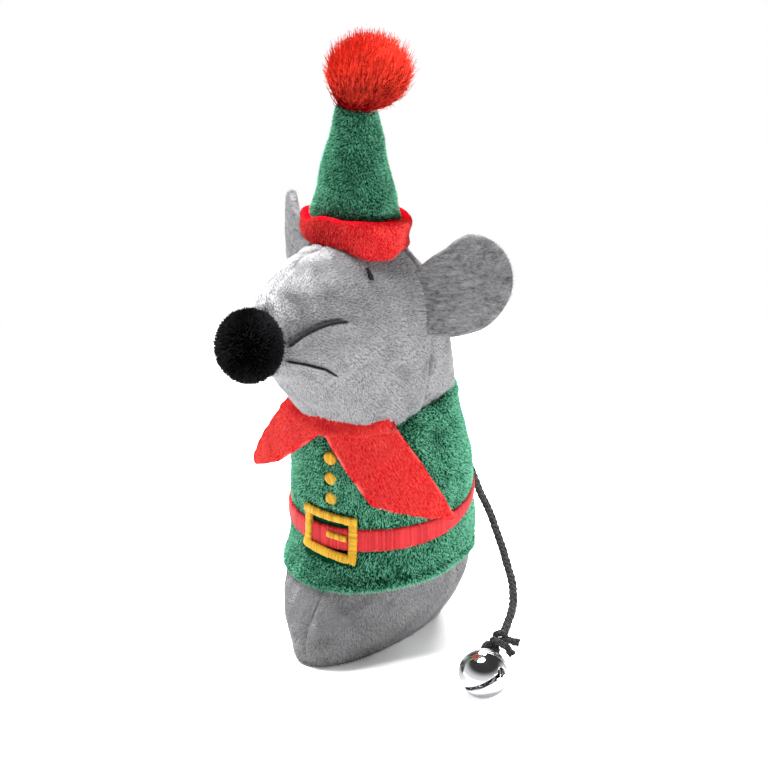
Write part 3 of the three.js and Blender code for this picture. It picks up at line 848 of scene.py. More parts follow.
def outward(piece: Piece) -> Piece:
    """Turns the faces of a closed piece outwards where their volume says that they point in.

    Args:
        piece: the closed piece.

    Returns:
        The same piece.
    """
    mesh = piece.data
    mesh.calc_loop_triangles()
    co = np.array([vertex.co for vertex in mesh.vertices])
    corners = np.array([triangle.vertices for triangle in mesh.loop_triangles])
    a, b, c = (co[corners[:, number]] for number in range(3))
    if np.einsum("ij,ij->i", a, np.cross(b, c)).sum() < 0:
        mesh.flip_normals()
    return piece


def sweep(path: Array, radius: Array | float, sides: int) -> tuple[Array, list[tuple]]:
    """A round tube along a path, with its ends closed.

    Args:
        path: the path's points.
        radius: its radius, one for all or one for each point.
        sides: how many sides it has.

    Returns:
        Its points and faces.
    """
    _, side, rise = path_frames(path)
    angle = np.arange(sides) / sides * 2 * math.pi
    reach = np.broadcast_to(radius, (len(path),))[:, None, None]
    round_it = side[:, None] * np.cos(angle)[None, :, None] + rise[:, None] * np.sin(angle)[None, :, None]
    return (path[:, None] + round_it * reach).reshape(-1, 3), capped(len(path), sides)


def bake_cells(piece: Piece) -> None:
    """Lays each face in a cell of its own, so that no two overlap when colours are baked.

    Args:
        piece: the piece whose map is written.
    """
    reach = 0.42
    mesh = piece.data
    count = len(mesh.polygons)
    sizes, starts = np.empty(count, np.int32), np.empty(count, np.int32)
    mesh.polygons.foreach_get("loop_total", sizes)
    mesh.polygons.foreach_get("loop_start", starts)
    side = math.ceil(math.sqrt(count))
    cell = np.arange(count)
    middle = np.stack([cell % side, cell // side], axis=1) + 0.5
    places = np.zeros((len(mesh.loops), 2))
    for corners in np.unique(sizes):
        faces = np.flatnonzero(sizes == corners)
        angle = (np.arange(corners) + 0.5) / corners * 2 * math.pi
        ring = reach * np.stack([np.cos(angle), np.sin(angle)], axis=1)
        rows = starts[faces][:, None] + np.arange(corners)
        places[rows] = middle[faces][:, None] + ring
    layer = mesh.uv_layers.new(name=BAKE_MAP)
    layer.data.foreach_set("uv", (places / side).astype(np.float32).ravel())


def stand_for(piece: Piece, slot: str, *nodes: str) -> Piece:
    """Hides the solids that a piece stands for, and reports it.

    Args:
        piece: the finished piece.
        slot: the record's slot; not used.
        nodes: the solids that it replaces.

    Returns:
        The piece.
    """
    if nodes:
        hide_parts(*nodes)
    log.info("%s: %d faces", piece.name, len(piece.data.polygons))
    return piece


def dress(piece: Piece, body: str, slot: str, *nodes: str) -> Piece:
    """The same for a piece that one body carries."""
    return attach(stand_for(piece, slot, *nodes), body)


# Geometry Nodes


class GeometryTree(NodeTree):
    """A Geometry Nodes tree with named inputs, whose result becomes a plain mesh."""

    USED = ("cover", "reach", "comb", "out", "base", "seat", "way")
    SHADES = (0.05, 1.0)

    def __init__(self, name: str, numbers: tuple, counts: tuple = (), vectors: tuple = ()) -> None:
        """Starts a tree.

        Args:
            name: its name.
            numbers: the names of those of its inputs that are numbers.
            counts: the names of those that are whole numbers.
            vectors: the names of those that are vectors.
        """
        super().__init__(bpy.data.node_groups.new(name, "GeometryNodeTree"))
        face = self.tree.interface
        face.new_socket(name="Geometry", in_out="OUTPUT", socket_type="NodeSocketGeometry")
        kinds = {"Geometry": ("Geometry",), "Vector": vectors, "Float": numbers, "Int": counts}
        kinds["Material"] = ("Material",)
        for kind, labels in kinds.items():
            for label in labels:
                face.new_socket(name=label, in_out="INPUT", socket_type=f"NodeSocket{kind}")
        self.start = self.tree.nodes.new("NodeGroupInput")

    @property
    def position(self) -> Wire:
        """Where each point is."""
        return self.wire("GeometryNodeInputPosition")

    def given(self, name: str) -> Wire:
        """One of the tree's inputs."""
        return Wire(self, self.start.outputs[name])

    def named(self, name: str, kind: str = "FLOAT") -> Wire:
        """An attribute of the mesh, a number unless the kind says more."""
        return self.wire("GeometryNodeInputNamedAttribute", {"data_type": kind}, {"Name": name})

    def chance(self, low: Operand, high: Operand, seed: int) -> Wire:
        """A random number or, between two vectors, a random vector.

        Args:
            low: the least value.
            high: the largest value.
            seed: the seed.

        Returns:
            The random value.
        """
        kind = "FLOAT_VECTOR" if isinstance(low, tuple) else "FLOAT"
        values = {"Min": low, "Max": high, "Seed": seed}
        return self.wire("FunctionNodeRandomValue", {"data_type": kind}, values)

    def any_way(self, seed: int) -> Wire:
        """A random vector, whose parts are between minus one and one."""
        return self.chance((-1, -1, -1), (1, 1, 1), seed)

    def shaded(self, instances: Wire, seed: int) -> Wire:
        """Instances, each with a random shade."""
        return self.stored(instances, "tuft", self.chance(*self.SHADES, seed), "INSTANCE")

    def stored(
        self, geometry: Wire, name: str, value: Wire, domain: str = "POINT", kind: str = "FLOAT"
    ) -> Wire:
        """The geometry with a value stored on it.

        Args:
            geometry: the geometry.
            name: the attribute's name.
            value: what is stored.
            domain: what the values lie on.
            kind: the type of the values.

        Returns:
            The geometry with the attribute.
        """
        settings = {"data_type": kind, "domain": domain}
        values = {"Geometry": geometry, "Name": name, "Value": value}
        return self.wire("GeometryNodeStoreNamedAttribute", settings, values)

    def joined(self, *parts: Wire) -> Wire:
        """Several geometries as one.

        Args:
            parts: the geometries.

        Returns:
            The joined geometry.
        """
        join = self.node("GeometryNodeJoinGeometry")
        for part in parts:
            self.tree.links.new(part.socket, join.inputs[0])
        return Wire(self, join.outputs[0])

    def end(self, geometry: Wire) -> None:
        """Ends the tree: real geometry, smooth, in the material that the tree is given.

        Args:
            geometry: what the tree gives out.
        """
        real = self.wire("GeometryNodeRealizeInstances", values={"Geometry": geometry})
        even = self.wire("GeometryNodeSetShadeSmooth", values={"Geometry": real})
        values = {"Geometry": even, "Material": self.given("Material")}
        dressed = self.wire("GeometryNodeSetMaterial", values=values)
        self.node("NodeGroupOutput", values={"Geometry": dressed})

    def grown(self, piece: Piece, **sizes: object) -> Piece:
        """Runs the tree on a piece and leaves the result as its mesh.

        Args:
            piece: the piece, whose mesh the tree works on.
            sizes: a value for each named input, with underscores for spaces.

        Returns:
            The piece.
        """
        modifier = piece.modifiers.new(self.tree.name, "NODES")
        modifier.node_group = self.tree
        for item in self.tree.interface.items_tree:
            key = item.name.replace(" ", "_")
            if item.in_out == "INPUT" and key in sizes:
                modifier[item.identifier] = sizes[key]
        graph = bpy.context.evaluated_depsgraph_get()
        mesh = bpy.data.meshes.new_from_object(piece.evaluated_get(graph))
        piece.modifiers.remove(modifier)
        piece.data = mesh
        for name in self.USED:
            if name in mesh.attributes:
                mesh.attributes.remove(mesh.attributes[name])
        bake_cells(piece)
        return piece


class PileTree(GeometryTree):
    """Grows tufts on a surface: each leans the way that the pile is combed, with some disorder."""

    SCALES = (0.65, 1.25)

    def __init__(self) -> None:
        """Builds the tree."""
        numbers = ("Density", "Length", "Width", "Lean", "Disorder", "Curl")
        super().__init__("pile", numbers, ("Segments", "Seed"))
        density = self.named("cover") * self.given("Density")
        values = {"Mesh": self.given("Geometry"), "Density": density, "Seed": self.given("Seed")}
        spread = self.node("GeometryNodeDistributePointsOnFaces", {"distribute_method": "RANDOM"}, values)
        points, normal = Wire(self, spread.outputs["Points"]), Wire(self, spread.outputs["Normal"])
        comb = self.named("comb", "FLOAT_VECTOR")
        way = normal + comb * self.given("Lean") + self.any_way(11) * self.given("Disorder")
        turn = self.wire("FunctionNodeAlignRotationToVector", {"axis": "Z"}, {"Vector": way})
        scale = self.chance(*self.SCALES, 12)
        values = {"Points": points, "Instance": self.tuft(), "Rotation": turn, "Scale": scale}
        tufts = self.shaded(self.wire("GeometryNodeInstanceOnPoints", values=values), 13)
        # The cloth under the tufts has no tip share, so its material darkens it with painted shade
        self.end(self.joined(self.given("Geometry"), tufts))

    def tuft(self) -> Wire:
        """One tuft: a thin three-sided cone, bent towards its tip, with its tip marked.

        Returns:
            The tuft's geometry.
        """
        length = self.given("Length")
        values = {
            "Vertices": 3,
            "Side Segments": self.given("Segments"),
            "Radius Top": 0.0,
            "Radius Bottom": self.given("Width") * 0.5,
            "Depth": length,
        }
        cone = self.wire("GeometryNodeMeshCone", {"fill_type": "NONE"}, values)
        up = self.split(self.position)[2]
        share = self.wire("ShaderNodeMath", {"operation": "DIVIDE"}, {0: up, 1: length})
        bent = share * share * self.given("Curl") * length
        offset = self.wire("ShaderNodeCombineXYZ", values={"X": bent})
        cone = self.stored(cone, "tip", share)
        return self.wire("GeometryNodeSetPosition", values={"Geometry": cone, "Offset": offset})


class StitchTree(GeometryTree):
    """Lays one thread at each vertex: along one way, arched over its middle and seated on the cloth."""

    TAPER = 0.45

    def __init__(self) -> None:
        """Builds the tree."""
        super().__init__("stitches", ("Thread", "Arch"))
        given, reach, thread = self.given("Geometry"), self.named("reach"), self.given("Thread")
        marked = self.wire("ShaderNodeMath", {"operation": "GREATER_THAN"}, {0: reach, 1: 0.0})
        points = self.wire("GeometryNodeMeshToPoints", values={"Mesh": given, "Selection": marked})
        values = {"Geometry": given, "Selection": marked}
        cloth_only = self.wire("GeometryNodeDeleteGeometry", {"domain": "POINT"}, values)
        out, along = self.named("out", "FLOAT_VECTOR"), self.named("comb", "FLOAT_VECTOR")
        axes = {"Primary Axis": out, "Secondary Axis": along}
        turn = self.wire("FunctionNodeAxesToRotation", {"primary_axis": "Z", "secondary_axis": "Y"}, axes)
        size = self.wire("ShaderNodeCombineXYZ", values={"X": thread, "Y": reach * MM, "Z": thread})
        values = {"Points": points, "Instance": self.thread(), "Rotation": turn, "Scale": size}
        laid = self.shaded(self.wire("GeometryNodeInstanceOnPoints", values=values), 21)
        self.end(self.joined(cloth_only, laid))

    def thread(self) -> Wire:
        """One thread of length and width one, which arches and tapers at its ends.

        Returns:
            The thread's geometry.
        """
        values = {"Vertices": 6, "Side Segments": 8, "Radius": 0.5, "Depth": 1.0}
        rod = self.wire("GeometryNodeMeshCylinder", {"fill_type": "NGON"}, values)
        x, y, z = self.split(self.position)
        end = z * z * 4
        taper = 1 - end * end * self.TAPER
        rise = (1 - end * end) * self.given("Arch")
        laid = self.wire("ShaderNodeCombineXYZ", values={"X": x * taper, "Y": z, "Z": y * taper + rise})
        return self.wire("GeometryNodeSetPosition", values={"Geometry": rod, "Position": laid})


class StrandTree(GeometryTree):
    """Grows long strands from one root: each starts near it, bows and ends at its own vertex."""

    TIP_RADIUS = 0.16
    ANY_WAY = (0.31, 0.52, 0.79)
    FLARE_WAY = (1.0, 1.0, -0.6)

    def __init__(self) -> None:
        """Builds the tree."""
        numbers = ("Density", "Strand", "Base", "Core", "Start", "Flare", "Shortest", "Stray")
        super().__init__("strands", numbers, ("Seed",), ("Root",))
        given, density = self.given("Geometry"), self.given("Density")
        values = {"Mesh": given, "Density": density, "Seed": self.given("Seed")}
        points = self.wire("GeometryNodeDistributePointsOnFaces", {"distribute_method": "RANDOM"}, values)
        root, place = self.given("Root"), self.position
        reach = (place - root) * self.chance(self.given("Shortest"), 1.0, 31)
        reach = reach + self.any_way(32) * self.given("Stray")
        points = self.stored(points, "way", reach, kind="FLOAT_VECTOR")
        points = self.stored(points, "base", self.any_way(33) * self.given("Base"), kind="FLOAT_VECTOR")
        values = {"Vertices": 3, "Side Segments": 3, "Radius Top": self.TIP_RADIUS, "Radius Bottom": 0.5}
        cone = self.wire("GeometryNodeMeshCone", {"fill_type": "NONE"}, {**values, "Depth": 1.0})
        cone = self.stored(cone, "tip", self.split(place)[2])
        strands = self.wire("GeometryNodeInstanceOnPoints", values={"Points": points, "Instance": cone})
        strands = self.stored(self.shaded(strands, 34), "seat", place, "INSTANCE", "FLOAT_VECTOR")
        real = self.wire("GeometryNodeRealizeInstances", values={"Geometry": strands})
        values = {"Geometry": real, "Position": self.bowed(root)}
        made = self.wire("GeometryNodeSetPosition", values=values)
        # The core has no tip share, so the material gives it the darkest painted shade, inside the strands
        values = {"Geometry": given, "Position": root + (place - root) * self.given("Core")}
        middle = self.wire("GeometryNodeSetPosition", values=values)
        self.end(self.joined(middle, made))

    def bowed(self, root: Wire) -> Wire:
        """Where each point of a strand goes, from its place on an upright one of length and width one.

        Args:
            root: where the strand stands.

        Returns:
            The point's new position.
        """
        share, way = self.named("tip"), self.named("way", "FLOAT_VECTOR")
        x, y, _ = self.split(self.position - self.named("seat", "FLOAT_VECTOR"))
        side = self.vector_maths("NORMALIZE", self.vector_maths("CROSS_PRODUCT", way, self.ANY_WAY))
        rise = self.vector_maths("NORMALIZE", self.vector_maths("CROSS_PRODUCT", way, side))
        round_it = (side * x + rise * y) * self.given("Strand")
        start = self.given("Start")
        gone = start + share * (1 - start)
        flare = way * self.FLARE_WAY * (self.given("Flare") * gone * (1 - gone))
        return root + self.named("base", "FLOAT_VECTOR") * (1 - gone) + way * gone + flare + round_it


@dataclass
class Workshop:
    """The trees that the pieces share."""

    pile: PileTree = field(default_factory=PileTree)
    stitches: StitchTree = field(default_factory=StitchTree)
    strands: StrandTree = field(default_factory=StrandTree)


@dataclass(frozen=True)
class Nap:
    """The pile of one cloth, in millimetres and tufts for each square millimetre."""

    density: float
    length: float
    width: float
    lean: float = 1.1
    disorder: float = 0.5
    curl: float = 0.0
    segments: int = 1

    def grown(
        self, shop: Workshop, surface: Surface, name: str, finish: Finishes, seed: int
    ) -> Piece:
        """Makes a piece, grows the pile on it and lays out its bake map.

        Args:
            shop: the shared trees.
            surface: the piece's surface, with its cover and comb.
            name: the piece's name.
            finish: its material.
            seed: which scatter.

        Returns:
            The piece.
        """
        return shop.pile.grown(
            surface.piece(name, finish),
            Density=self.density / MM**2,
            Length=self.length * MM,
            Width=self.width * MM,
            Lean=self.lean,
            Disorder=self.disorder,
            Curl=self.curl,
            Segments=self.segments,
            Seed=seed,
            Material=finish.material(),
        )


@dataclass(frozen=True)
class Fur:
    """Strands that start near one root, in millimetres and strands for each square millimetre."""

    density: float
    strand: float
    base: float
    stray: float
    core: float
    start: float
    shortest: float
    flare: float = 0.0

    def grown(
        self, shop: Workshop, surface: Surface, name: str, finish: Finishes, seed: int, root: Array
    ) -> Piece:
        """Makes a piece out of strands that end on its surface.

        Args:
            shop: the shared trees.
            surface: where the strands end.
            name: the piece's name.
            finish: its material.
            seed: which scatter.
            root: where they start.

        Returns:
            The piece.
        """
        return shop.strands.grown(
            surface.piece(name, finish),
            Root=tuple(root * MM),
            Density=self.density / MM**2,
            Strand=self.strand * MM,
            Base=self.base * MM,
            Core=self.core,
            Start=self.start,
            Flare=self.flare,
            Shortest=self.shortest,
            Stray=self.stray * MM,
            Seed=seed,
            Material=finish.material(),
        )


GREY_NAP = Nap(density=14.0, length=0.6, width=0.26, lean=1.4, disorder=0.4)
GREEN_NAP = Nap(density=9.3, length=0.72, width=0.37, lean=0.7, disorder=0.6)
HAT_NAP = Nap(density=14.0, length=0.6, width=0.28, lean=0.7, disorder=0.6)
RED_NAP = Nap(density=13.0, length=0.85, width=0.24, lean=2.8, disorder=0.28)
BRIM_NAP = Nap(density=12.0, length=0.55, width=0.3, lean=1.6, disorder=0.35)
FUZZ_NAP = Nap(density=5.0, length=0.5, width=0.08, lean=2.4, disorder=1.1, curl=0.4, segments=2)
NOSE_YARN = Fur(density=12.6, strand=0.36, base=0.8, stray=0.35, core=0.88, start=0.7, shortest=0.92)
POMPOM_FUR = Fur(density=9.2, strand=0.26, base=3.4, stray=1.1, core=0.5, start=0.08, shortest=0.8, flare=0.6)


# Forms that the cloth lies on


@dataclass(frozen=True)
class BodyForm:
    """The stuffed body: a bullet-shaped base under a round torso.

    Turn is zero at the front and positive to the toy's left.
    """

    neck_height: float = 60
    base_half_width: float = 13
    base_front_reach: float = 32.5
    base_back_reach: float = 19.5
    torso_half_width: float = 21.7
    torso_front_reach: float = 20.4
    torso_back_reach: float = 21.6
    neck_half_width: float = 17
    neck_front_reach: float = 21.6
    neck_back_reach: float = 16.5
    left_side_rise: float = 1.2
    # Height share of the neck height, then how far width, front and back keep the base's size, then all three
    # the neck's
    station_shares: tuple = (
        (0, 1, 1, 1, 0),
        (0.07, 0.76, 1.03, 0.86, 0),
        (0.14, 0.38, 0.98, 0.45, 0),
        (0.21, 0.14, 0.76, 0.15, 0),
        (0.3, 0, 0.36, 0, 0),
        (0.4, 0, 0.1, 0, 0),
        (0.52, 0, 0, 0, 0.02),
        (0.72, 0, 0, 0, 0.16),
        (0.86, 0, 0, 0, 0.48),
        (1, 0, 0, 0, 0.96),
        (1.14, 0, 0, 0, 0.9),
    )

    def point(self, turn: Array, height: Array, offset: Array | float = 0.0) -> Array:
        """Places on the body's surface, or off it by an offset.

        Args:
            turn: the turn round the body, in radians.
            height: the height, in millimetres.
            offset: how far out from the surface.

        Returns:
            The places, in millimetres.
        """
        turn, height, offset = np.broadcast_arrays(turn, height, offset)
        row = cardinal(np.array(self.station_shares, float), height / self.neck_height)
        wide, front, back, neck = (row[..., column] for column in range(1, 5))

        def size(base: float, torso: float, top: float, share: Array) -> Array:
            """One reach, between the sizes of the base, the torso and the neck."""
            return torso + (base - torso) * share + (top - torso) * neck

        half = size(self.base_half_width, self.torso_half_width, self.neck_half_width, wide) + offset
        ahead = size(self.base_front_reach, self.torso_front_reach, self.neck_front_reach, front) + offset
        behind = size(self.base_back_reach, self.torso_back_reach, self.neck_back_reach, back) + offset
        reach = np.where(np.cos(turn) > 0, ahead, behind)
        return np.stack([half * np.sin(turn), -reach * np.cos(turn), height], axis=-1)

    def normal(self, turn: Array, height: Array) -> Array:
        """The way out of the surface at a turn and a height.

        Args:
            turn: turns about the upright axis.
            height: heights.

        Returns:
            Unit directions.
        """
        step = 0.01
        around = self.point(turn + step, height) - self.point(turn - step, height)
        upward = self.point(turn, height + step) - self.point(turn, height - step)
        return unit(np.cross(around, upward))

    def climb(self, front: float, back: float, turn: Array) -> Array:
        """A height that climbs from the front to the back, and a little to the left."""
        return front + (back - front) * np.sin(turn / 2) ** 2 + self.left_side_rise * np.sin(turn)


@dataclass(frozen=True)
class HeadForm:
    """The stuffed head: an egg that points forward.

    Along is zero at the snout and one at the back, and turn goes round from the top.
    """

    width: float = 37
    length: float = 62
    snout_reach: float = 46
    crown_height: float = 105.5
    crown_roundness: float = 1.8
    belly_height: float = 42
    middle_height: float = 82
    snout_span: float = 14
    snout_height: float = 87.5
    seam_place: float = -6
    neck_height: float = 60
    # Length share, width share, then the shares of the way from the snout's own top, middle and bottom
    station_shares: tuple = (
        (0, 0.24, 0, 0, 0),
        (0.04, 0.35, 0.25, 0.02, 0.05),
        (0.12, 0.48, 0.56, 0.08, 0.13),
        (0.23, 0.62, 0.8, 0.24, 0.33),
        (0.35, 0.74, 0.91, 0.44, 0.6),
        (0.48, 0.88, 0.98, 0.7, 0.82),
        (0.61, 0.98, 1, 1, 0.98),
        (0.69, 0.99, 0.82, 1.5, 1),
        (0.775, 0.97, 0.42, 2.4, 1),
        (0.855, 0.89, -0.2, 3.5, 0.98),
        (0.935, 0.7, -1, 4.6, 0.9),
        (1, 0.38, -1.95, 5.4, 0.8),
    )

    @property
    def seam_along(self) -> float:
        """The share of the length at which the front and back panels meet."""
        return (self.seam_place + self.snout_reach) / self.length

    def surface(self, along: Array, turn: Array) -> Array:
        """Places on the head's smooth surface.

        Args:
            along: shares of the head's length.
            turn: turns about its length.

        Returns:
            The places.
        """
        along, turn = np.broadcast_arrays(along, turn)
        row = cardinal(np.array(self.station_shares, float), along)
        wide, top, middle, bottom = (row[..., column] for column in range(1, 5))

        def mix(start: float, end: float, share: Array) -> Array:
            """A height between two."""
            return start + (end - start) * share

        top_height = mix(self.snout_height + self.snout_span / 2, self.crown_height, top)
        middle_height = mix(self.snout_height, self.middle_height, middle)
        bottom_height = mix(self.snout_height - self.snout_span / 2, self.belly_height, bottom)
        upper = np.cos(turn) > 0
        rise = np.where(upper, top_height - middle_height, middle_height - bottom_height)
        power = np.where(upper, 2 / self.crown_roundness, 1.0)
        across = np.sign(np.sin(turn)) * np.abs(np.sin(turn)) ** power
        upward = np.sign(np.cos(turn)) * np.abs(np.cos(turn)) ** power
        aside, back = self.width / 2 * wide * across, self.length * along - self.snout_reach
        return np.stack([aside, back, middle_height + rise * upward], axis=-1)

    def backward(self, along: Array, turn: Array, step: float) -> Array:
        """A step back over the surface, of a share of the length to each side."""
        ahead, behind = np.maximum(along - step, 0), np.minimum(along + step, 1)
        return self.surface(behind, turn) - self.surface(ahead, turn)

    def normal(self, along: Array, turn: Array) -> Array:
        """The way out of the surface.

        Args:
            along: shares of the head's length.
            turn: turns about the upright axis.

        Returns:
            Unit directions.
        """
        step = 0.002
        around = self.surface(along, turn + step) - self.surface(along, turn - step)
        return unit(np.cross(around, self.backward(along, turn, step)))

    def point(self, along: Array, turn: Array, offset: Array | float = 0.0) -> Array:
        """Places off the head's surface by an offset, none of them below the neck's cut.

        Args:
            along: shares of the head's length.
            turn: turns about its length.
            offset: how far off the surface.

        Returns:
            The places.
        """
        along, turn, offset = np.broadcast_arrays(along, turn, offset)
        placed = self.surface(along, turn) + self.normal(along, turn) * offset[..., None]
        placed[..., 2] = np.maximum(placed[..., 2], self.neck_height)
        return placed


BODY = BodyForm()
HEAD = HeadForm()


# Tail


@dataclass
class Tail:
    """The braided cord that leaves the back seam, the knot at its end and the jingle bell."""

    diameter: float = 2.1
    strands: int = 8
    pitch: float = 5.2
    strand_share: float = 0.4
    core_share: float = 0.72
    weave_share: float = 0.3
    fray_share: float = 0.35
    end_length: float = 4.6
    end_bend: float = 0.35
    # Each wrap's tilt, shift along the cord and reach to the side, then how far both reach across
    knot_wraps: tuple = ((0.5, -0.7, 1.35), (-0.55, 0.75, 1.45))
    wrap_reach: float = 1.25
    blend_length: float = 9.0
    anchor_length: float = 7.0
    bell_diameter: float = 11.7
    bell_wall: float = 0.5
    bell_reach: float = 9.62
    bell_lift: float = 0.25
    lip: float = 0.22
    # The rolled lip, as shares of itself out from the shell and up from the gap
    lip_shares: tuple = ((0.4, 0), (1, 0.7), (0.9, 1.8), (0.25, 2.3))
    slit_width: float = 1.1
    hole_diameter: float = 2.4
    hole_turn: float = math.radians(64)
    loop_wire: float = 0.9
    loop_diameter: float = 3.8
    loop_rise: float = 1.45
    bight_diameter: float = 3.0
    pellet_diameter: float = 3.2
    route: tuple = (
        (0, 24.7, 41),
        (2.4, 26.4, 40.4),
        (5.2, 27.2, 38.8),
        (8.6, 26.6, 36.2),
        (11.8, 24.6, 33.4),
        (15.8, 21.6, 30.4),
        (21, 17.8, 27.6),
        (25, 14.4, 24.8),
        (28.9, 11, 22.2),
        (32.5, 7.5, 19.8),
        (36.1, 3.9, 17.2),
        (38.9, -0.4, 14.6),
        (40.2, -3.8, 13.3),
        (41.2, -7.3, 12.1),
        (41.6, -9.7, 11.1),
        (41.6, -11.2, 10.2),
    )
    bell_plan_way: tuple = (0.156, -0.988)
    bell_loop_way: tuple = (-0.362, 0.93, 0.069)
    bell_slit_way: tuple = (0.83, 0.288, 0.476)
    end_ways: tuple = ((0.83, 0.4, -0.1), (0.7, 0.1, -0.7))

    @property
    def knot(self) -> Array:
        """The middle of the knot."""
        return np.array(self.route[-1], float)

    @property
    def bell_middle(self) -> Array:
        """The middle of the bell, which lies on the floor."""
        x, y = self.knot[:2] + np.array(self.bell_plan_way) * self.bell_reach
        return np.array([x, y, self.bell_diameter / 2 + self.bell_lift])

    @property
    def bell_axes(self) -> Array:
        """The bell's own axes as rows: along its slit, across it and up to its loop.

        Returns:
            Three unit directions.
        """
        up = unit(np.array(self.bell_loop_way, float))
        across = unit(np.cross(up, self.bell_slit_way))
        return np.array([np.cross(across, up), across, up])

    @property
    def loop_middle(self) -> Array:
        """The middle of the bell's wire loop."""
        return self.bell_middle + self.bell_axes[2] * (self.bell_diameter / 2 + self.loop_rise)

    def braid(self, surface: Surface, path: Array, radius: float, fray: float = 0.0) -> None:
        """Adds a braid along a path: half its strands wind one way and half the other, over and under.

        Args:
            surface: the mesh that it is added to.
            path: the path's points, close together.
            radius: the braid's outer radius.
            fray: how far the strands open at the path's last end.
        """
        _, side, rise = path_frames(path)
        travelled = np.concatenate([[0], np.cumsum(np.linalg.norm(np.diff(path, axis=0), axis=1))])
        thread = radius * self.strand_share
        centre = radius - thread
        half = self.strands // 2
        # The core is darker than the strands: painted shade between them
        points, faces = sweep(path, radius * self.core_share, 8)
        surface.add(points, faces, tuft=0.1)
        for number in range(self.strands):
            winding = 1 if number < half else -1
            start = 2 * math.pi * (number % half) / half + (0 if winding > 0 else math.pi / half)
            angle = start + winding * 2 * math.pi * travelled / self.pitch
            weave = np.sin(angle * half + start) * thread * self.weave_share * winding
            opened = 1 + fray * smooth(0.55, 1.0, travelled / travelled[-1])
            reach = ((centre + weave) * opened)[:, None]
            strand = path + (side * np.cos(angle)[:, None] + rise * np.sin(angle)[:, None]) * reach
            points, faces = sweep(strand, thread, 5)
            surface.add(points, faces, tuft=0.25 + 0.7 * ((number * 0.37) % 1))

    def build(self) -> None:
        """Makes the cord, its knot, the sewn-in end and the bell."""
        route = through(np.array(self.route, float), 230)
        cord = Surface()
        self.braid(cord, route[:-6], self.diameter / 2)
        cord_piece = cord.piece("tail_cord_braid", Finishes.BLACK_CORD)
        stand_for(cord_piece, "black_cord", "tail_root", "tail_cord")
        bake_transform(cord_piece)
        knot_piece = self.build_knot()
        bells = self.build_bell()
        self.build_anchor()

    def build_anchor(self) -> None:
        """Makes the end of the cord that is sewn into the back seam."""
        start = np.array(self.route[0], float)
        back = BODY.torso_back_reach + CLEARANCE + TUNIC_THICKNESS
        outside = start[1] + self.diameter / 4
        path = np.linspace([0, back - self.anchor_length, start[2]], [0, outside, start[2]], 24)
        anchor = Surface()
        self.braid(anchor, path, self.diameter / 2)
        dress(anchor.piece("tail_sewn_end", Finishes.BLACK_CORD), "toy", "black_cord", "tail_anchor")

    def build_knot(self) -> Piece:
        """Makes the knot: wraps round the cord, the turn through the bell's loop and two cut ends.

        Returns:
            The knot's piece, already dressed.
        """
        surface = Surface()
        radius, bight = self.diameter * 0.45, self.bight_diameter / 2
        knot, loop = self.knot, self.loop_middle
        through_way = unit(np.cross(self.bell_axes[2], UP))
        to_knot = knot - loop
        to_knot = unit(to_knot - through_way * (to_knot @ through_way))
        middle = loop + to_knot * bight
        self.braid(surface, circle(middle, through_way * bight, to_knot * bight, 60), radius * 0.95)
        lead = unit(knot - np.array(self.route[-3], float))
        side = unit(np.cross(lead, [0.3, 0.2, 1.0]))
        rise = np.cross(lead, side)
        for tilt, shift, reach in self.knot_wraps:
            across = unit(rise + lead * tilt) * self.wrap_reach
            self.braid(surface, circle(knot + lead * shift, side * reach, across, 44), radius * 0.9)
        for way in self.end_ways:
            out = unit(np.array(way)) * self.end_length
            line = through(np.array([knot, knot + out / 2 + UP * self.end_bend, knot + out]), 26)
            self.braid(surface, line, radius * 0.92, fray=self.fray_share)
        piece = surface.piece("tail_knot_turns", Finishes.BLACK_CORD)
        return dress(piece, "tail", "black_cord", "tail_knot")

    def bell_points(self, local: Array) -> Array:
        """Places in the bell's own axes, from its middle, as places on the toy."""
        return self.bell_middle + local @ self.bell_axes

    def half_shell(self, side: int) -> tuple[Array, list[tuple]]:
        """One half of the bell as a turned profile with a rolled lip.

        Args:
            side: one for the half with the loop, minus one for the half with the slit.

        Returns:
            The points in the bell's axes, and the faces.
        """
        outer, inner = self.bell_diameter / 2, self.bell_diameter / 2 - self.bell_wall
        gap, least, sides = CLEARANCE / 4, 0.004, 96
        bend = np.linspace(0, math.pi / 2, 26)
        arc = np.stack([np.cos(bend), np.sin(bend)], axis=1)
        lip = [[outer + out * self.lip, gap + up * self.lip] for out, up in self.lip_shares]
        outside, inside = [0, gap] + outer * arc[3:], [0, gap] + inner * arc[:0:-1]
        profile = np.vstack([[[inner, gap]], lip, outside, inside])
        profile[:, 0] = np.maximum(profile[:, 0], least)
        faces = grid_faces(len(profile), sides, True)
        last, after = (len(profile) - 1) * sides, [*range(1, sides), 0]
        faces += [(number, last + number, last + after[number], after[number]) for number in range(sides)]
        return lathe(profile * [1, side], sides).reshape(-1, 3), faces

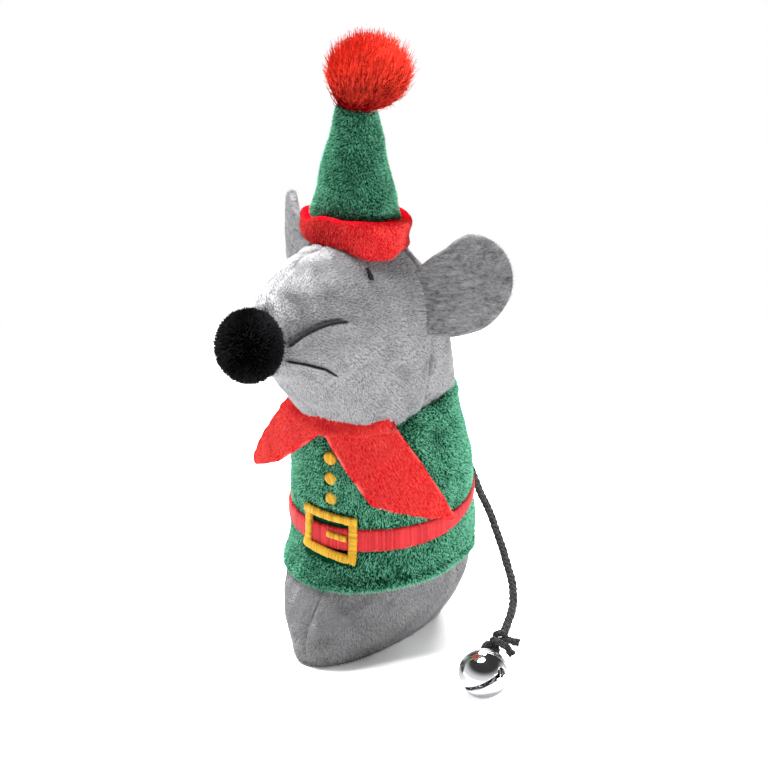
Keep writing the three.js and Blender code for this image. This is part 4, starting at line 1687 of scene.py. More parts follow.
    def build_bell(self) -> list[Piece]:
        """Makes the bell's two halves, its loop and its pellet.

        Returns:
            The pieces.
        """
        upper = Surface()
        points, faces = self.half_shell(1)
        upper.add(self.bell_points(points), faces)
        up = self.bell_axes[2]
        over = np.cross(unit(np.cross(up, UP)), up)
        reach = self.loop_diameter / 2
        points, faces = sweep(circle(self.loop_middle, up * reach, over * reach, 49), self.loop_wire / 2, 12)
        upper.add(points, faces)
        upper_piece = upper.piece("bell_upper_half", Finishes.BELL_CHROME)
        lower = Surface()
        points, faces = self.half_shell(-1)
        lower.add(self.bell_points(points), faces)
        lower_piece = self.slotted(lower.piece("bell_lower_half", Finishes.BELL_CHROME))
        drop = self.bell_diameter / 2 - self.bell_wall - CLEARANCE - self.pellet_diameter / 2
        ball = lathe(egg(self.pellet_diameter, self.pellet_diameter, 16), 24)
        pellet_piece = solid(ball + self.bell_middle + DOWN * drop).piece("bell_ball", Finishes.BELL_CHROME)
        return [
            dress(upper_piece, "bell", "bell_chrome", "bell_upper_shell"),
            dress(lower_piece, "bell", "bell_chrome", "bell_lower_shell"),
            dress(pellet_piece, "pellet", "bell_chrome", "bell_pellet"),
        ]

    def slotted(self, piece: Piece) -> Piece:
        """Cuts the slit and the round hole at each of its ends out of the lower half.

        Args:
            piece: the lower half's piece.

        Returns:
            The same piece, cut.
        """
        cutters = []
        reach = self.bell_diameter / 2
        box = Surface()
        half = [reach * math.sin(self.hole_turn), self.slit_width / 2, reach / 2]
        corners = np.array([[x, y, z] for x in (-1, 1) for y in (-1, 1) for z in (-1, 1)]) * half
        faces = [(0, 1, 3, 2), (4, 6, 7, 5), (0, 4, 5, 1), (2, 3, 7, 6), (0, 2, 6, 4), (1, 5, 7, 3)]
        box.add(self.bell_points(corners - [0, 0, reach]), faces)
        cutters.append(box.piece("slit_cutter", Finishes.BELL_CHROME))
        for side in (1, -1):
            way = np.array([side * math.sin(self.hole_turn), 0, -math.cos(self.hole_turn)])
            line = self.bell_points(np.array([way * reach * share for share in (0.6, 0.8, 1.0, 1.25)]))
            hole = Surface()
            points, faces = sweep(line, self.hole_diameter / 2, 32)
            hole.add(points, faces)
            cutters.append(hole.piece("hole_cutter", Finishes.BELL_CHROME))
        for cutter in cutters:
            cut = piece.modifiers.new("cut", "BOOLEAN")
            cut.operation, cut.object, cut.solver = "DIFFERENCE", cutter, "EXACT"
        graph = bpy.context.evaluated_depsgraph_get()
        mesh = bpy.data.meshes.new_from_object(piece.evaluated_get(graph))
        piece.modifiers.clear()
        piece.data = mesh
        for cutter in cutters:
            bpy.data.objects.remove(cutter)
        return piece


# Head


@dataclass
class Head:
    """The stuffed head: two side panels that meet over the forehead, a back gusset, filling and a face."""

    shop: Workshop
    seam_depth: float = 0.75
    seam_width: float = 0.8
    chin_rise: float = 3.0
    chin_sink: float = 1.8
    rows: int = 60
    columns: int = 64
    hat_place: tuple = (-0.6, -10.8)
    hat_radius: float = 11.4
    hat_floor: float = 96
    eye_diameter: float = 0.9
    whisker_diameter: float = 0.7
    # Places as a share along the head and a share of a half turn from its top
    eye_shares: tuple = ((0.41, 0.229), (0.408, 0.251), (0.404, 0.277))
    far_eye_shift: float = 0.022
    whisker_shares: tuple = (
        ((0.014, 0.51), (0.04, 0.457), (0.07, 0.43), (0.13, 0.411), (0.19, 0.407), (0.25, 0.414)),
        ((0.014, 0.636), (0.04, 0.642), (0.08, 0.652), (0.13, 0.66), (0.165, 0.656), (0.22, 0.664)),
    )
    nose_width: float = 15.8
    nose_height: float = 17.4
    nose_sink: float = 2.3
    nose_rise: float = 0.7
    temple_swell: float = 1.3
    temple_turn: float = 0.95
    temple_share: float = 0.66
    lumps: float = 0.22
    nap_step: float = 0.01
    dome_shares: tuple = (0.86, 0.7, 0.5, 0.3, 0.1)
    dome_rise: float = 0.9
    eye_swell_shares: tuple = (0.8, 1.1, 1.5)
    whisker_swell_shares: tuple = ((1.3, 1.25, 1.15), (0.85, 0.95, 0.8))
    eye_twist: float = 1.9
    whisker_twist: float = 1.5
    thread_lift: float = 0.25

    def relief(self, along: Array, turn: Array) -> Array:
        """How far the stuffed cloth stands off the plain form: soft lumps, and a groove at each seam.

        Args:
            along: shares of the head's length.
            turn: turns about its length.

        Returns:
            The distances off the form.
        """
        place = HEAD.surface(along, turn)
        in_front = smooth(0.25, -0.25, place[..., 1] - HEAD.seam_place)
        forehead = hump(place[..., 0], self.seam_width) * in_front
        side = hump(place[..., 1] - HEAD.seam_place, self.seam_width)
        beside = hump(np.abs(turn) - self.temple_turn, 0.4) * hump(along - self.temple_share, 0.14)
        groove = self.seam_depth * np.maximum(forehead * 0.6, side)
        return self.temple_swell * beside + self.lumps * ripple(place, length=17, seed=3) - groove

    def nap_way(self, along: Array, turn: Array) -> Array:
        """The way that the pile lies: back from the snout and down."""
        stray = 0.45 * swirl(HEAD.surface(along, turn), length=5, seed=30)
        return unit(HEAD.backward(along, turn, self.nap_step)) + 0.4 * DOWN + stray

    def cover(self, place: Array) -> Array:
        """How much pile shows: none at the neck's cut and none under the hat.

        Args:
            place: places on the skin.

        Returns:
            Shares from none to all.
        """
        aside = np.hypot(place[..., 0] - self.hat_place[0], place[..., 1] - self.hat_place[1])
        capped = (place[..., 2] > self.hat_floor) * smooth(self.hat_radius + 0.8, self.hat_radius, aside)
        return smooth(HEAD.neck_height + 0.2, HEAD.neck_height + 1.2, place[..., 2]) * (1 - capped)

    def drawn_up(self, places: Array) -> Array:
        """The places with the chin drawn up off the collar at the front and sunk on it at the left.

        Args:
            places: places on the skin.

        Returns:
            The moved places.
        """
        turn = np.arctan2(places[..., 0], -places[..., 1])
        raised = self.chin_rise * hump(turn - 0.03, 0.42) - self.chin_sink * hump(turn - 0.64, 0.19)
        lifted = places.copy()
        lifted[..., 2] += raised * smooth(HEAD.neck_height + 12, HEAD.neck_height, places[..., 2])
        return lifted

    def panel(self, along: Array, turn: Array, closed: bool) -> Surface:
        """One panel of the skin.

        Args:
            along: the places along the head, one a row.
            turn: the turns, one a column.
            closed: whether it runs all the way round, and closes over the back.

        Returns:
            The panel.
        """
        along, turn = np.meshgrid(along, turn, indexing="ij")
        relief = self.relief(along, turn)
        outer = HEAD.point(along, turn, relief)
        comb, cover = self.nap_way(along, turn), self.cover(outer)
        outer = self.drawn_up(outer)
        inner = self.drawn_up(HEAD.point(along, turn, relief - PLUSH_THICKNESS))
        if closed:
            outer, inner = (self.domed(grid) for grid in (outer, inner))
            extra = len(outer) - len(comb)
            comb = np.concatenate([comb, np.broadcast_to(DOWN, (extra, *comb.shape[1:]))])
            cover = np.concatenate([cover, np.ones((extra, cover.shape[1]))])
        return cloth(outer, inner, closed, closed, cover=cover, comb=comb)

    def domed(self, grid: Array) -> Array:
        """Closes the last row over with a low dome.

        Args:
            grid: the skin's rows, whose last one is open.

        Returns:
            The rows with the dome's.
        """
        rim = grid[-1]
        middle = rim.mean(axis=0)
        rows = [grid]
        for share in self.dome_shares:
            ring = middle + (rim - middle) * share
            ring[:, 1] += self.dome_rise * (1 - share**2)
            rows.append(ring[None])
        return np.concatenate(rows)

    def build(self) -> None:
        """Makes the panels, the filling and the face."""
        gap = SEAM_GAP / 4 / HEAD.length
        front = np.linspace(0, HEAD.seam_along - gap, self.rows)
        start = 0.008
        for side, name in LEFT_AND_RIGHT:
            turn = side * np.linspace(start, math.pi - start, self.columns)
            panel = self.panel(front, turn, False)
            piece = GREY_NAP.grown(self.shop, panel, f"head_{name}_plush", Finishes.GREY_PLUSH, 41 + side)
            dress(piece, "toy", "grey_plush", f"head_{name}_panel")
        back = np.linspace(HEAD.seam_along + gap, 1, self.rows // 2)
        turn = np.arange(2 * self.columns) / self.columns * math.pi
        panel = self.panel(back, turn, True)
        piece = GREY_NAP.grown(self.shop, panel, "head_back_plush", Finishes.GREY_PLUSH, 44)
        dress(piece, "toy", "grey_plush", "head_back_panel")
        self.build_filling()
        self.build_face()
        self.build_nose()

    def build_filling(self) -> None:
        """Makes the head's filling, a little inside its skin."""
        along, turn = np.linspace(0.02, 0.985, 24), np.linspace(0, 2 * math.pi, 40, False)
        along, turn = np.meshgrid(along, turn, indexing="ij")
        rings = self.drawn_up(HEAD.point(along, turn, -PLUSH_THICKNESS - CLEARANCE))
        piece = solid(rings).piece("head_filling", Finishes.WHITE_FIBRE)
        dress(piece, "toy", "white_fibre", "head_stuffing")

    def sewn(self, shares: tuple, side: int, diameter: float, pitch: float, swell: tuple) -> Surface:
        """A thread of two twisted plies along places on the head.

        Args:
            shares: the places, as shares along the head and of a half turn.
            side: one for the toy's left, minus one for its right.
            diameter: the whole thread's.
            pitch: the length of one twist.
            swell: its thickness at its start, middle and end, as shares of the diameter.

        Returns:
            The thread.
        """
        rows = np.array(shares, float)
        lift = CLEARANCE + diameter / 2 + self.thread_lift
        places = HEAD.point(rows[:, 0], side * rows[:, 1] * math.pi, lift)
        path = through(places, 90)
        share = np.linspace(0, 1, len(path))
        thick = np.interp(share, (0, 0.5, 1), swell) * diameter
        thick *= np.clip(np.minimum(share, 1 - share) * 16, 0.3, 1)
        _, first, second = path_frames(path)
        travelled = share * np.linalg.norm(np.diff(path, axis=0), axis=1).sum()
        made = Surface()
        for ply in range(2):
            angle = travelled / pitch * 2 * math.pi + ply * math.pi
            round_it = first * np.cos(angle)[:, None] + second * np.sin(angle)[:, None]
            points, faces = sweep(path + round_it * (thick * 0.28)[:, None], thick * 0.29, 8)
            made.add(points, faces, tuft=0.25 + 0.5 * ply)
        return made

    def build_face(self) -> None:
        """Makes the eye stitches and the whiskers."""
        for side, name in LEFT_AND_RIGHT:
            shares = [(along, turn + self.far_eye_shift * (side < 0)) for along, turn in self.eye_shares]
            eye = self.sewn(shares, side, self.eye_diameter, self.eye_twist, self.eye_swell_shares)
            piece = eye.piece(f"eye_thread_{name}", Finishes.BLACK_THREAD)
            dress(piece, "toy", "black_yarn", f"eye_stitch_{name}")
            for row, shares in enumerate(self.whisker_shares, 1):
                swell = self.whisker_swell_shares[row - 1]
                thread = self.sewn(shares, side, self.whisker_diameter, self.whisker_twist, swell)
                piece = thread.piece(f"whisker_thread_{name}_{row}", Finishes.BLACK_THREAD)
                dress(piece, "toy", "black_yarn", f"whisker_{name}_{row}")

    def build_nose(self) -> None:
        """Makes the yarn pompom on the snout."""
        reach = HEAD.snout_reach + self.nose_width / 2 - self.nose_sink
        middle = np.array([0, -reach, HEAD.snout_height + self.nose_rise])
        ball = solid(lathe(egg(self.nose_width, self.nose_height, 33), 48) + middle)
        piece = NOSE_YARN.grown(self.shop, ball, "nose_yarn", Finishes.BLACK_YARN, 7, middle)
        dress(piece, "toy", "black_yarn", "nose_pompom")


@dataclass
class Ear:
    """One ear, cut from a sheet of pressed felt and sewn upright to the side of the head."""

    shop: Workshop
    name: str
    side: int
    height: float
    length: float = 21
    tall: float = 24
    thickness: float = 1.7
    inset: float = 0.9
    root_reach: float = 8
    sweep: float = math.radians(43)
    cup: float = 0.9
    sewn_depth: float = 5.2
    sewn_shares: tuple = (-0.46, -0.3, -0.15, 0, 0.1)
    # How far out from the middle each ring lies and, where it turns at the edge, how far to its face
    ring_shares: tuple = (0.02, 0.2, 0.4, 0.6, 0.78, 0.9, 0.955)
    edge_shares: tuple = ((0.985, 0.8), (1.0, 0.4), (1.0, -0.4), (0.985, -0.8))
    outline_shares: tuple = (
        (-0.02, -0.46),
        (0.3, -0.5),
        (0.7, -0.42),
        (0.95, -0.16),
        (0.98, 0.14),
        (0.82, 0.4),
        (0.5, 0.52),
        (0.2, 0.37),
        (-0.02, 0.06),
    )

    def gap_to_head(self, height: Array) -> Array:
        """How far the head's side lies inside of its widest place beside the root, at some heights.

        Args:
            height: heights beside the root.

        Returns:
            The gaps.
        """
        along, turn = np.meshgrid(np.linspace(0.4, 0.8, 160), np.linspace(0, math.pi, 400), indexing="ij")
        head = HEAD.point(along, turn).reshape(-1, 3)
        head = head[np.abs(head[:, 1] + self.root_reach) < self.thickness / 2]
        steps = self.height + np.array(self.sewn_shares) * self.tall
        sides = [head[np.abs(head[:, 2] - step) < self.thickness / 2, 0].max() for step in steps]
        return np.interp(height, steps, HEAD.width / 2 - np.array(sides))

    def outline(self) -> Array:
        """The ear's edge in its own plane, away from its root and up, as a closed ring.

        Returns:
            The ring's points.
        """
        rows = np.array([(out * self.length, up * self.tall, 0) for out, up in self.outline_shares])
        edge = through(rows, 84)
        root = np.linspace(edge[-1], edge[0], 22)[1:-1]
        return np.concatenate([edge, root])[:, :2]

    def build(self) -> None:
        """Makes the felt and the loose fibres on it."""
        edge = self.outline()
        middle = np.array([0.46 * self.length, 0.0])
        half = self.thickness / 2
        profile = [(share, 1.0) for share in self.ring_shares] + list(self.edge_shares)
        profile += [(share, -1.0) for share in self.ring_shares[::-1]]
        rings = []
        for share, face in profile:
            flat = middle + (edge - middle) * share
            bend = self.cup * ((flat[:, 0] / self.length) ** 2 - 0.3 + 0.5 * (flat[:, 1] / self.tall) ** 2)
            lumps = 0.1 * ripple(np.column_stack([flat, np.full(len(flat), face * 3)]), 3.5, 5 + self.side)
            rings.append(np.column_stack([flat[:, 0], face * (half + lumps) + bend, flat[:, 1]]))
        turn = self.sweep if self.side > 0 else math.pi - self.sweep
        away = np.array([math.cos(turn), math.sin(turn), 0])
        through_it = np.array([-math.sin(turn), math.cos(turn), 0]) * self.side
        root = np.array([self.side * (HEAD.width / 2 - self.inset), -self.root_reach, self.height])
        rings = np.array(rings)
        placed = root + rings @ np.array([away, through_it, UP])
        sewn_on = smooth(self.sewn_depth, 0, rings[..., 0])
        placed[..., 0] -= self.side * sewn_on * self.gap_to_head(placed[..., 2])
        comb = np.broadcast_to(away + 0.25 * UP, placed.shape)
        felt = solid(placed, cover=np.ones(placed.shape[:2]), comb=comb)
        piece = FUZZ_NAP.grown(self.shop, felt, f"{self.name}_felt", Finishes.GREY_FELT, 50 + self.side)
        dress(piece, "ear_left" if self.side > 0 else "ear_right", "grey_felt", self.name)


# Body and costume


@dataclass
class Body:
    """The stuffed body, of which the base shows below the tunic, with its filling and the catnip bag."""

    shop: Workshop
    seam_turn: float = math.pi / 2 + 0.025
    seam_depth: float = 0.45
    seam_width: float = 1.1
    edge_rounding: float = 0.8
    hem_front: float = 18.0
    hem_back: float = 22.0
    sachet_diameter: float = 13
    sachet_length: float = 27
    sachet_plumpness: float = 0.35
    lumps: float = 0.3
    # How far in the base panel's flat rows lie, and its edge: a share in, an inset and a height
    base_shares: tuple = (0.9, 0.8, 0.65, 0.5, 0.35, 0.2, 0.02)
    base_edge: tuple = ((1.0, -0.1, 0.4), (1.0, -0.5, 0.12))

    def heights(self) -> Array:
        """The heights of the rows: close together where the cloth shows, and at its lower edge.

        Returns:
            The heights, from the lowest up.
        """
        low = 0.35
        edge = low + self.edge_rounding * np.array([0, 0.25, 0.6, 1])
        shown = np.linspace(2, self.hem_back + 3, 34)
        hidden = np.linspace(self.hem_back + 5, BODY.neck_height - 0.4, 16)
        return np.concatenate([edge, shown, hidden])

    def panel(self, turn: Array) -> Surface:
        """One panel of the skin, between turns given in order.

        Args:
            turn: the panel's turns, in order.

        Returns:
            The panel's mesh.
        """
        height, turn = np.meshgrid(self.heights(), turn, indexing="ij")
        place = BODY.point(turn, height)
        centre = hump(place[..., 0], self.seam_width) * (np.cos(turn) > 0)
        side = hump((np.abs(turn) - self.seam_turn) * 20, self.seam_width)
        tuck = self.edge_rounding * np.clip(1 - height / (2 * self.edge_rounding), 0, 1) ** 2
        lumps = self.lumps * ripple(place, length=13, seed=8) * smooth(1, 5, height)
        relief = lumps - self.seam_depth * np.maximum(centre, side) - tuck
        hem = BODY.climb(self.hem_front, self.hem_back, turn)
        shown = smooth(hem + 1.2, hem + 0.2, height) * smooth(1.0, 1.7, height)
        neck = smooth(BODY.neck_height - 3.4, BODY.neck_height - 2.6, height) * (np.cos(turn) > 0)
        comb = DOWN + 0.5 * swirl(place, length=5, seed=33)
        outer = BODY.point(turn, height, relief)
        inner = BODY.point(turn, height, relief - PLUSH_THICKNESS)
        return cloth(outer, inner, cover=np.maximum(shown, neck), comb=comb)

    def build(self) -> None:
        """Makes the panels, the base, the filling and the bag."""
        start, gap = 0.008, 0.006
        panels = {
            "left": np.linspace(start, self.seam_turn - gap, 60),
            "right": -np.linspace(start, self.seam_turn - gap, 60),
            "back": np.linspace(self.seam_turn + gap, 2 * math.pi - self.seam_turn - gap, 84),
        }
        for number, (name, turn) in enumerate(panels.items()):
            panel = self.panel(turn)
            piece = GREY_NAP.grown(self.shop, panel, f"body_{name}_plush", Finishes.GREY_PLUSH, 60 + number)
            dress(piece, "toy", "grey_plush", f"body_{name}_panel")
        self.build_base()
        self.build_filling()

    def build_base(self) -> None:
        """Makes the flat panel that the toy stands on."""
        turn = np.arange(96) / 96 * 2 * math.pi
        rounding = self.edge_rounding
        profile = [(self.base_shares[-1], 0.0, PLUSH_THICKNESS)]
        profile += [(1.0, -rounding * 0.55, PLUSH_THICKNESS), (1.0, 0.0, PLUSH_THICKNESS * 0.7)]
        profile += [*self.base_edge, (0.97, -rounding, 0.0)]
        profile += [(share, -rounding, 0.0) for share in self.base_shares]
        rings = []
        for share, offset, height in profile:
            ring = BODY.point(turn, np.zeros_like(turn), offset)
            ring[:, :2] *= share
            ring[:, 2] = height
            rings.append(ring)
        piece = solid(np.array(rings)).piece("base_plush", Finishes.GREY_PLUSH)
        dress(piece, "toy", "grey_plush", "base_panel")

    def build_filling(self) -> None:
        """Makes the body's filling and the bag of catnip inside it."""
        height = np.linspace(PLUSH_THICKNESS + CLEARANCE, BODY.neck_height - 0.6, 24)
        height, turn = np.meshgrid(height, np.linspace(0, 2 * math.pi, 40, False), indexing="ij")
        rings = BODY.point(turn, height, -PLUSH_THICKNESS - CLEARANCE)
        piece = solid(rings).piece("body_filling", Finishes.WHITE_FIBRE)
        dress(piece, "toy", "white_fibre", "body_stuffing")
        radius, top = self.sachet_diameter / 2, BODY.neck_height - 2 * CLEARANCE
        share = np.linspace(0, 1, 20)
        plump = radius * np.sin(math.pi * share) ** self.sachet_plumpness
        rings = lathe(np.stack([plump, top - self.sachet_length * (1 - share)], axis=1), 40)
        bag = solid(rings).piece("catnip_bag", Finishes.SACHET_CLOTH)
        dress(bag, "toy", "sachet_cloth", "catnip_sachet")


@dataclass
class Collar:
    """The two red flaps that hang from the neck, and the band that they are sewn to."""

    shop: Workshop
    height: float = 57.2
    spread: float = 9.6
    thickness: float = 1.3
    steps: int = 34
    bend_share: float = 0.3
    nap_lift: float = 0.02
    edge_rounding: float = 0.4
    lumps: float = 0.18
    # The rise of the left flap's rolled edge, how far in from the edge it lies and its width
    edge_roll: tuple = (0.55, 1.4, 0.9)
    band_rise: float = 5.4
    band_lean: float = 2.6
    band_sink: float = 0.5
    comb_step: float = 0.05
    # How far from the flaps' edges the pile starts and stands whole, and the cut cloth shows and is gone
    pile_room: tuple = (0.35, 1.0)
    cut_room: tuple = (0.4, 1.1)
    folded_edge: float = 0.5
    # How high the band is at its two ends, as a share, and the share of a half turn over which it gets there
    band_end_share: float = 0.35
    band_taper_share: float = 0.03
    # Corners by the neck and then by the hem, each a share of a half turn, of the height and of the spread
    left_shares: tuple = (
        (0.003, 1.03, 0.031),
        (0.272, 1.055, -0.03),
        (0.156, 0.732, 0.167),
        (0.43, 0.622, 0.2),
    )
    right_shares: tuple = (
        (-0.004, 1.03, 0.031),
        (-0.2, 1.09, 0.34),
        (-0.197, 0.815, 0.37),
        (-0.41, 0.66, 0.95),
    )

    def grid(self, corner_shares: tuple, offset: float, along: Array, down: Array) -> Array:
        """Places on a flap.

        Args:
            corner_shares: its corners.
            offset: how far out of its seat.
            along: shares from its first corner to its second.
            down: shares from the neck to the hem.

        Returns:
            The places.
        """
        neck_start, neck_end, hem_start, hem_end = (np.array(corner) for corner in corner_shares)
        along, down = along[..., None], down[..., None]
        rows = (neck_start * (1 - along) + neck_end * along) * (1 - down)
        rows = rows + (hem_start * (1 - along) + hem_end * along) * down
        spot = rows[..., 0] * math.pi, rows[..., 1] * self.height
        place = BODY.point(*spot, TUNIC_OUTER + CLEARANCE + rows[..., 2] * self.spread)
        way = BODY.normal(*spot)
        return place + way * np.broadcast_to(offset, way.shape[:-1])[..., None]

    def seats(self) -> Array:
        """Places all over the undersides of both flaps where they lie near the tunic.

        Returns:
            The places, in one list.
        """
        down, along = np.meshgrid(np.linspace(0, 1, 30), np.linspace(0, 1, 30), indexing="ij")
        left = self.grid(self.left_shares, 0, along, down).reshape(-1, 3)
        near = down < 0.55
        right = self.grid(self.right_shares, 0, along[near], down[near]).reshape(-1, 3)
        return np.concatenate([left, right])

    def flap(self, name: str, corner_shares: tuple, ragged: float, seed: int) -> None:
        """Makes one flap: its cloth and the pile brushed along it.

        Args:
            name: left or right.
            corner_shares: its corners.
            ragged: how uneven the pile leaves its hem, in millimetres.
            seed: which unevenness.
        """
        steps = np.linspace(0, 1, self.steps)
        down, along = np.meshgrid(steps, steps, indexing="ij")
        bare = self.grid(corner_shares, 0, along, down)
        length = np.linalg.norm(np.diff(bare, axis=0), axis=2).sum(axis=0).mean()
        width = np.linalg.norm(np.diff(bare, axis=1), axis=2).sum(axis=1).mean()
        uneven = ragged / length * np.sin(along * 31 + 0.8 * np.sin(along * 11 + seed)) * smooth(0.7, 1, down)
        edge = np.minimum(np.minimum(along, 1 - along) * width, np.minimum(down, 1 - down) * length)
        round_off = self.edge_rounding * (1 - smooth(0, 0.9, edge))
        lumps = self.lumps * ripple(bare, length=7, seed=seed)
        roll, inward, wide = self.edge_roll
        roll = roll * hump((1 - along) * width - inward, wide) if name == "left" else 0.0
        outer = self.grid(corner_shares, self.thickness - round_off + lumps + roll, along, down + uneven)
        inner = self.grid(corner_shares, round_off * 0.5, along, down + uneven)
        edge = np.minimum(edge, along * width - self.folded_edge * (name == "left"))
        cut = 1 - smooth(*self.cut_room, edge)
        # Cut edges take the pale colour of the bare cut cloth; elsewhere the cloth under the pile keeps the
        # painted shade of the roots
        flap = cloth(outer, inner, tuft=0.3 + 0.7 * cut, tip=cut)
        piece = flap.piece(f"collar_{name}_cloth", Finishes.RED_PLUSH)
        comb = unit(self.grid(corner_shares, 0, along, down + self.comb_step) - bare)
        cover = smooth(*self.pile_room, edge)
        skin = Surface()
        faces = grid_faces(self.steps, self.steps, False)
        points, ways = (outer + comb * self.nap_lift).reshape(-1, 3), comb.reshape(-1, 3)
        skin.add(points, faces, cover=cover.ravel(), comb=ways)
        nap = RED_NAP.grown(self.shop, skin, f"collar_{name}_nap", Finishes.RED_PLUSH, 70 + seed)
        root, hung = (bare[row].mean(axis=0) for row in (0, int(self.steps * self.bend_share)))
        for made in (stand_for(piece, "red_plush", f"collar_{name}_flap"), stand_for(nap, "red_plush")):
            tuple(root * MM)
            tuple(hung * MM)
            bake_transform(made)
        cells = [bare[:-1, :-1], bare[1:, :-1], bare[1:, 1:], bare[:-1, 1:]]
        crossed = np.cross(cells[2] - cells[0], cells[3] - cells[1])

    def neckband(self) -> None:
        """Makes the band under the chin that the flaps are sewn to, which stays with the toy."""
        (start, first, near), (left_end, left_top, left_near) = self.left_shares[:2]
        right_end, right_top, right_near = self.right_shares[1]
        turn_shares = np.linspace(right_end, left_end, 70)
        ends = (right_end, start, left_end)
        top = np.interp(turn_shares, ends, (right_top, first, left_top)) * self.height
        spread = np.interp(turn_shares, ends, (right_near, near, left_near)) * self.spread
        rise, turn = np.meshgrid(np.linspace(0, 1, 12), turn_shares * math.pi, indexing="ij")
        inset = np.minimum(turn_shares - right_end, left_end - turn_shares)
        low = self.band_end_share
        taper = low + (1 - low) * smooth(0, self.band_taper_share, inset)
        height = top - self.band_sink + self.band_rise * rise * taper
        stand = TUNIC_OUTER + CLEARANCE + self.thickness + spread - self.band_lean * rise**1.5
        outer = BODY.point(turn, height, stand + 0.12 * ripple(BODY.point(turn, height), length=4, seed=77))
        inner = BODY.point(turn, height, stand - self.thickness)
        comb = BODY.point(turn, height - self.band_sink) - BODY.point(turn, height)
        band = cloth(outer, inner, cover=np.ones(turn.shape), comb=comb * 2, tuft=0.5)
        piece = RED_NAP.grown(self.shop, band, "collar_neckband", Finishes.RED_PLUSH, 75)
        dress(piece, "toy", "red_plush")

    def build(self) -> None:
        """Makes both flaps and the band."""
        self.flap("left", self.left_shares, ragged=0.25, seed=1)
        self.flap("right", self.right_shares, ragged=0.55, seed=2)
        self.neckband()


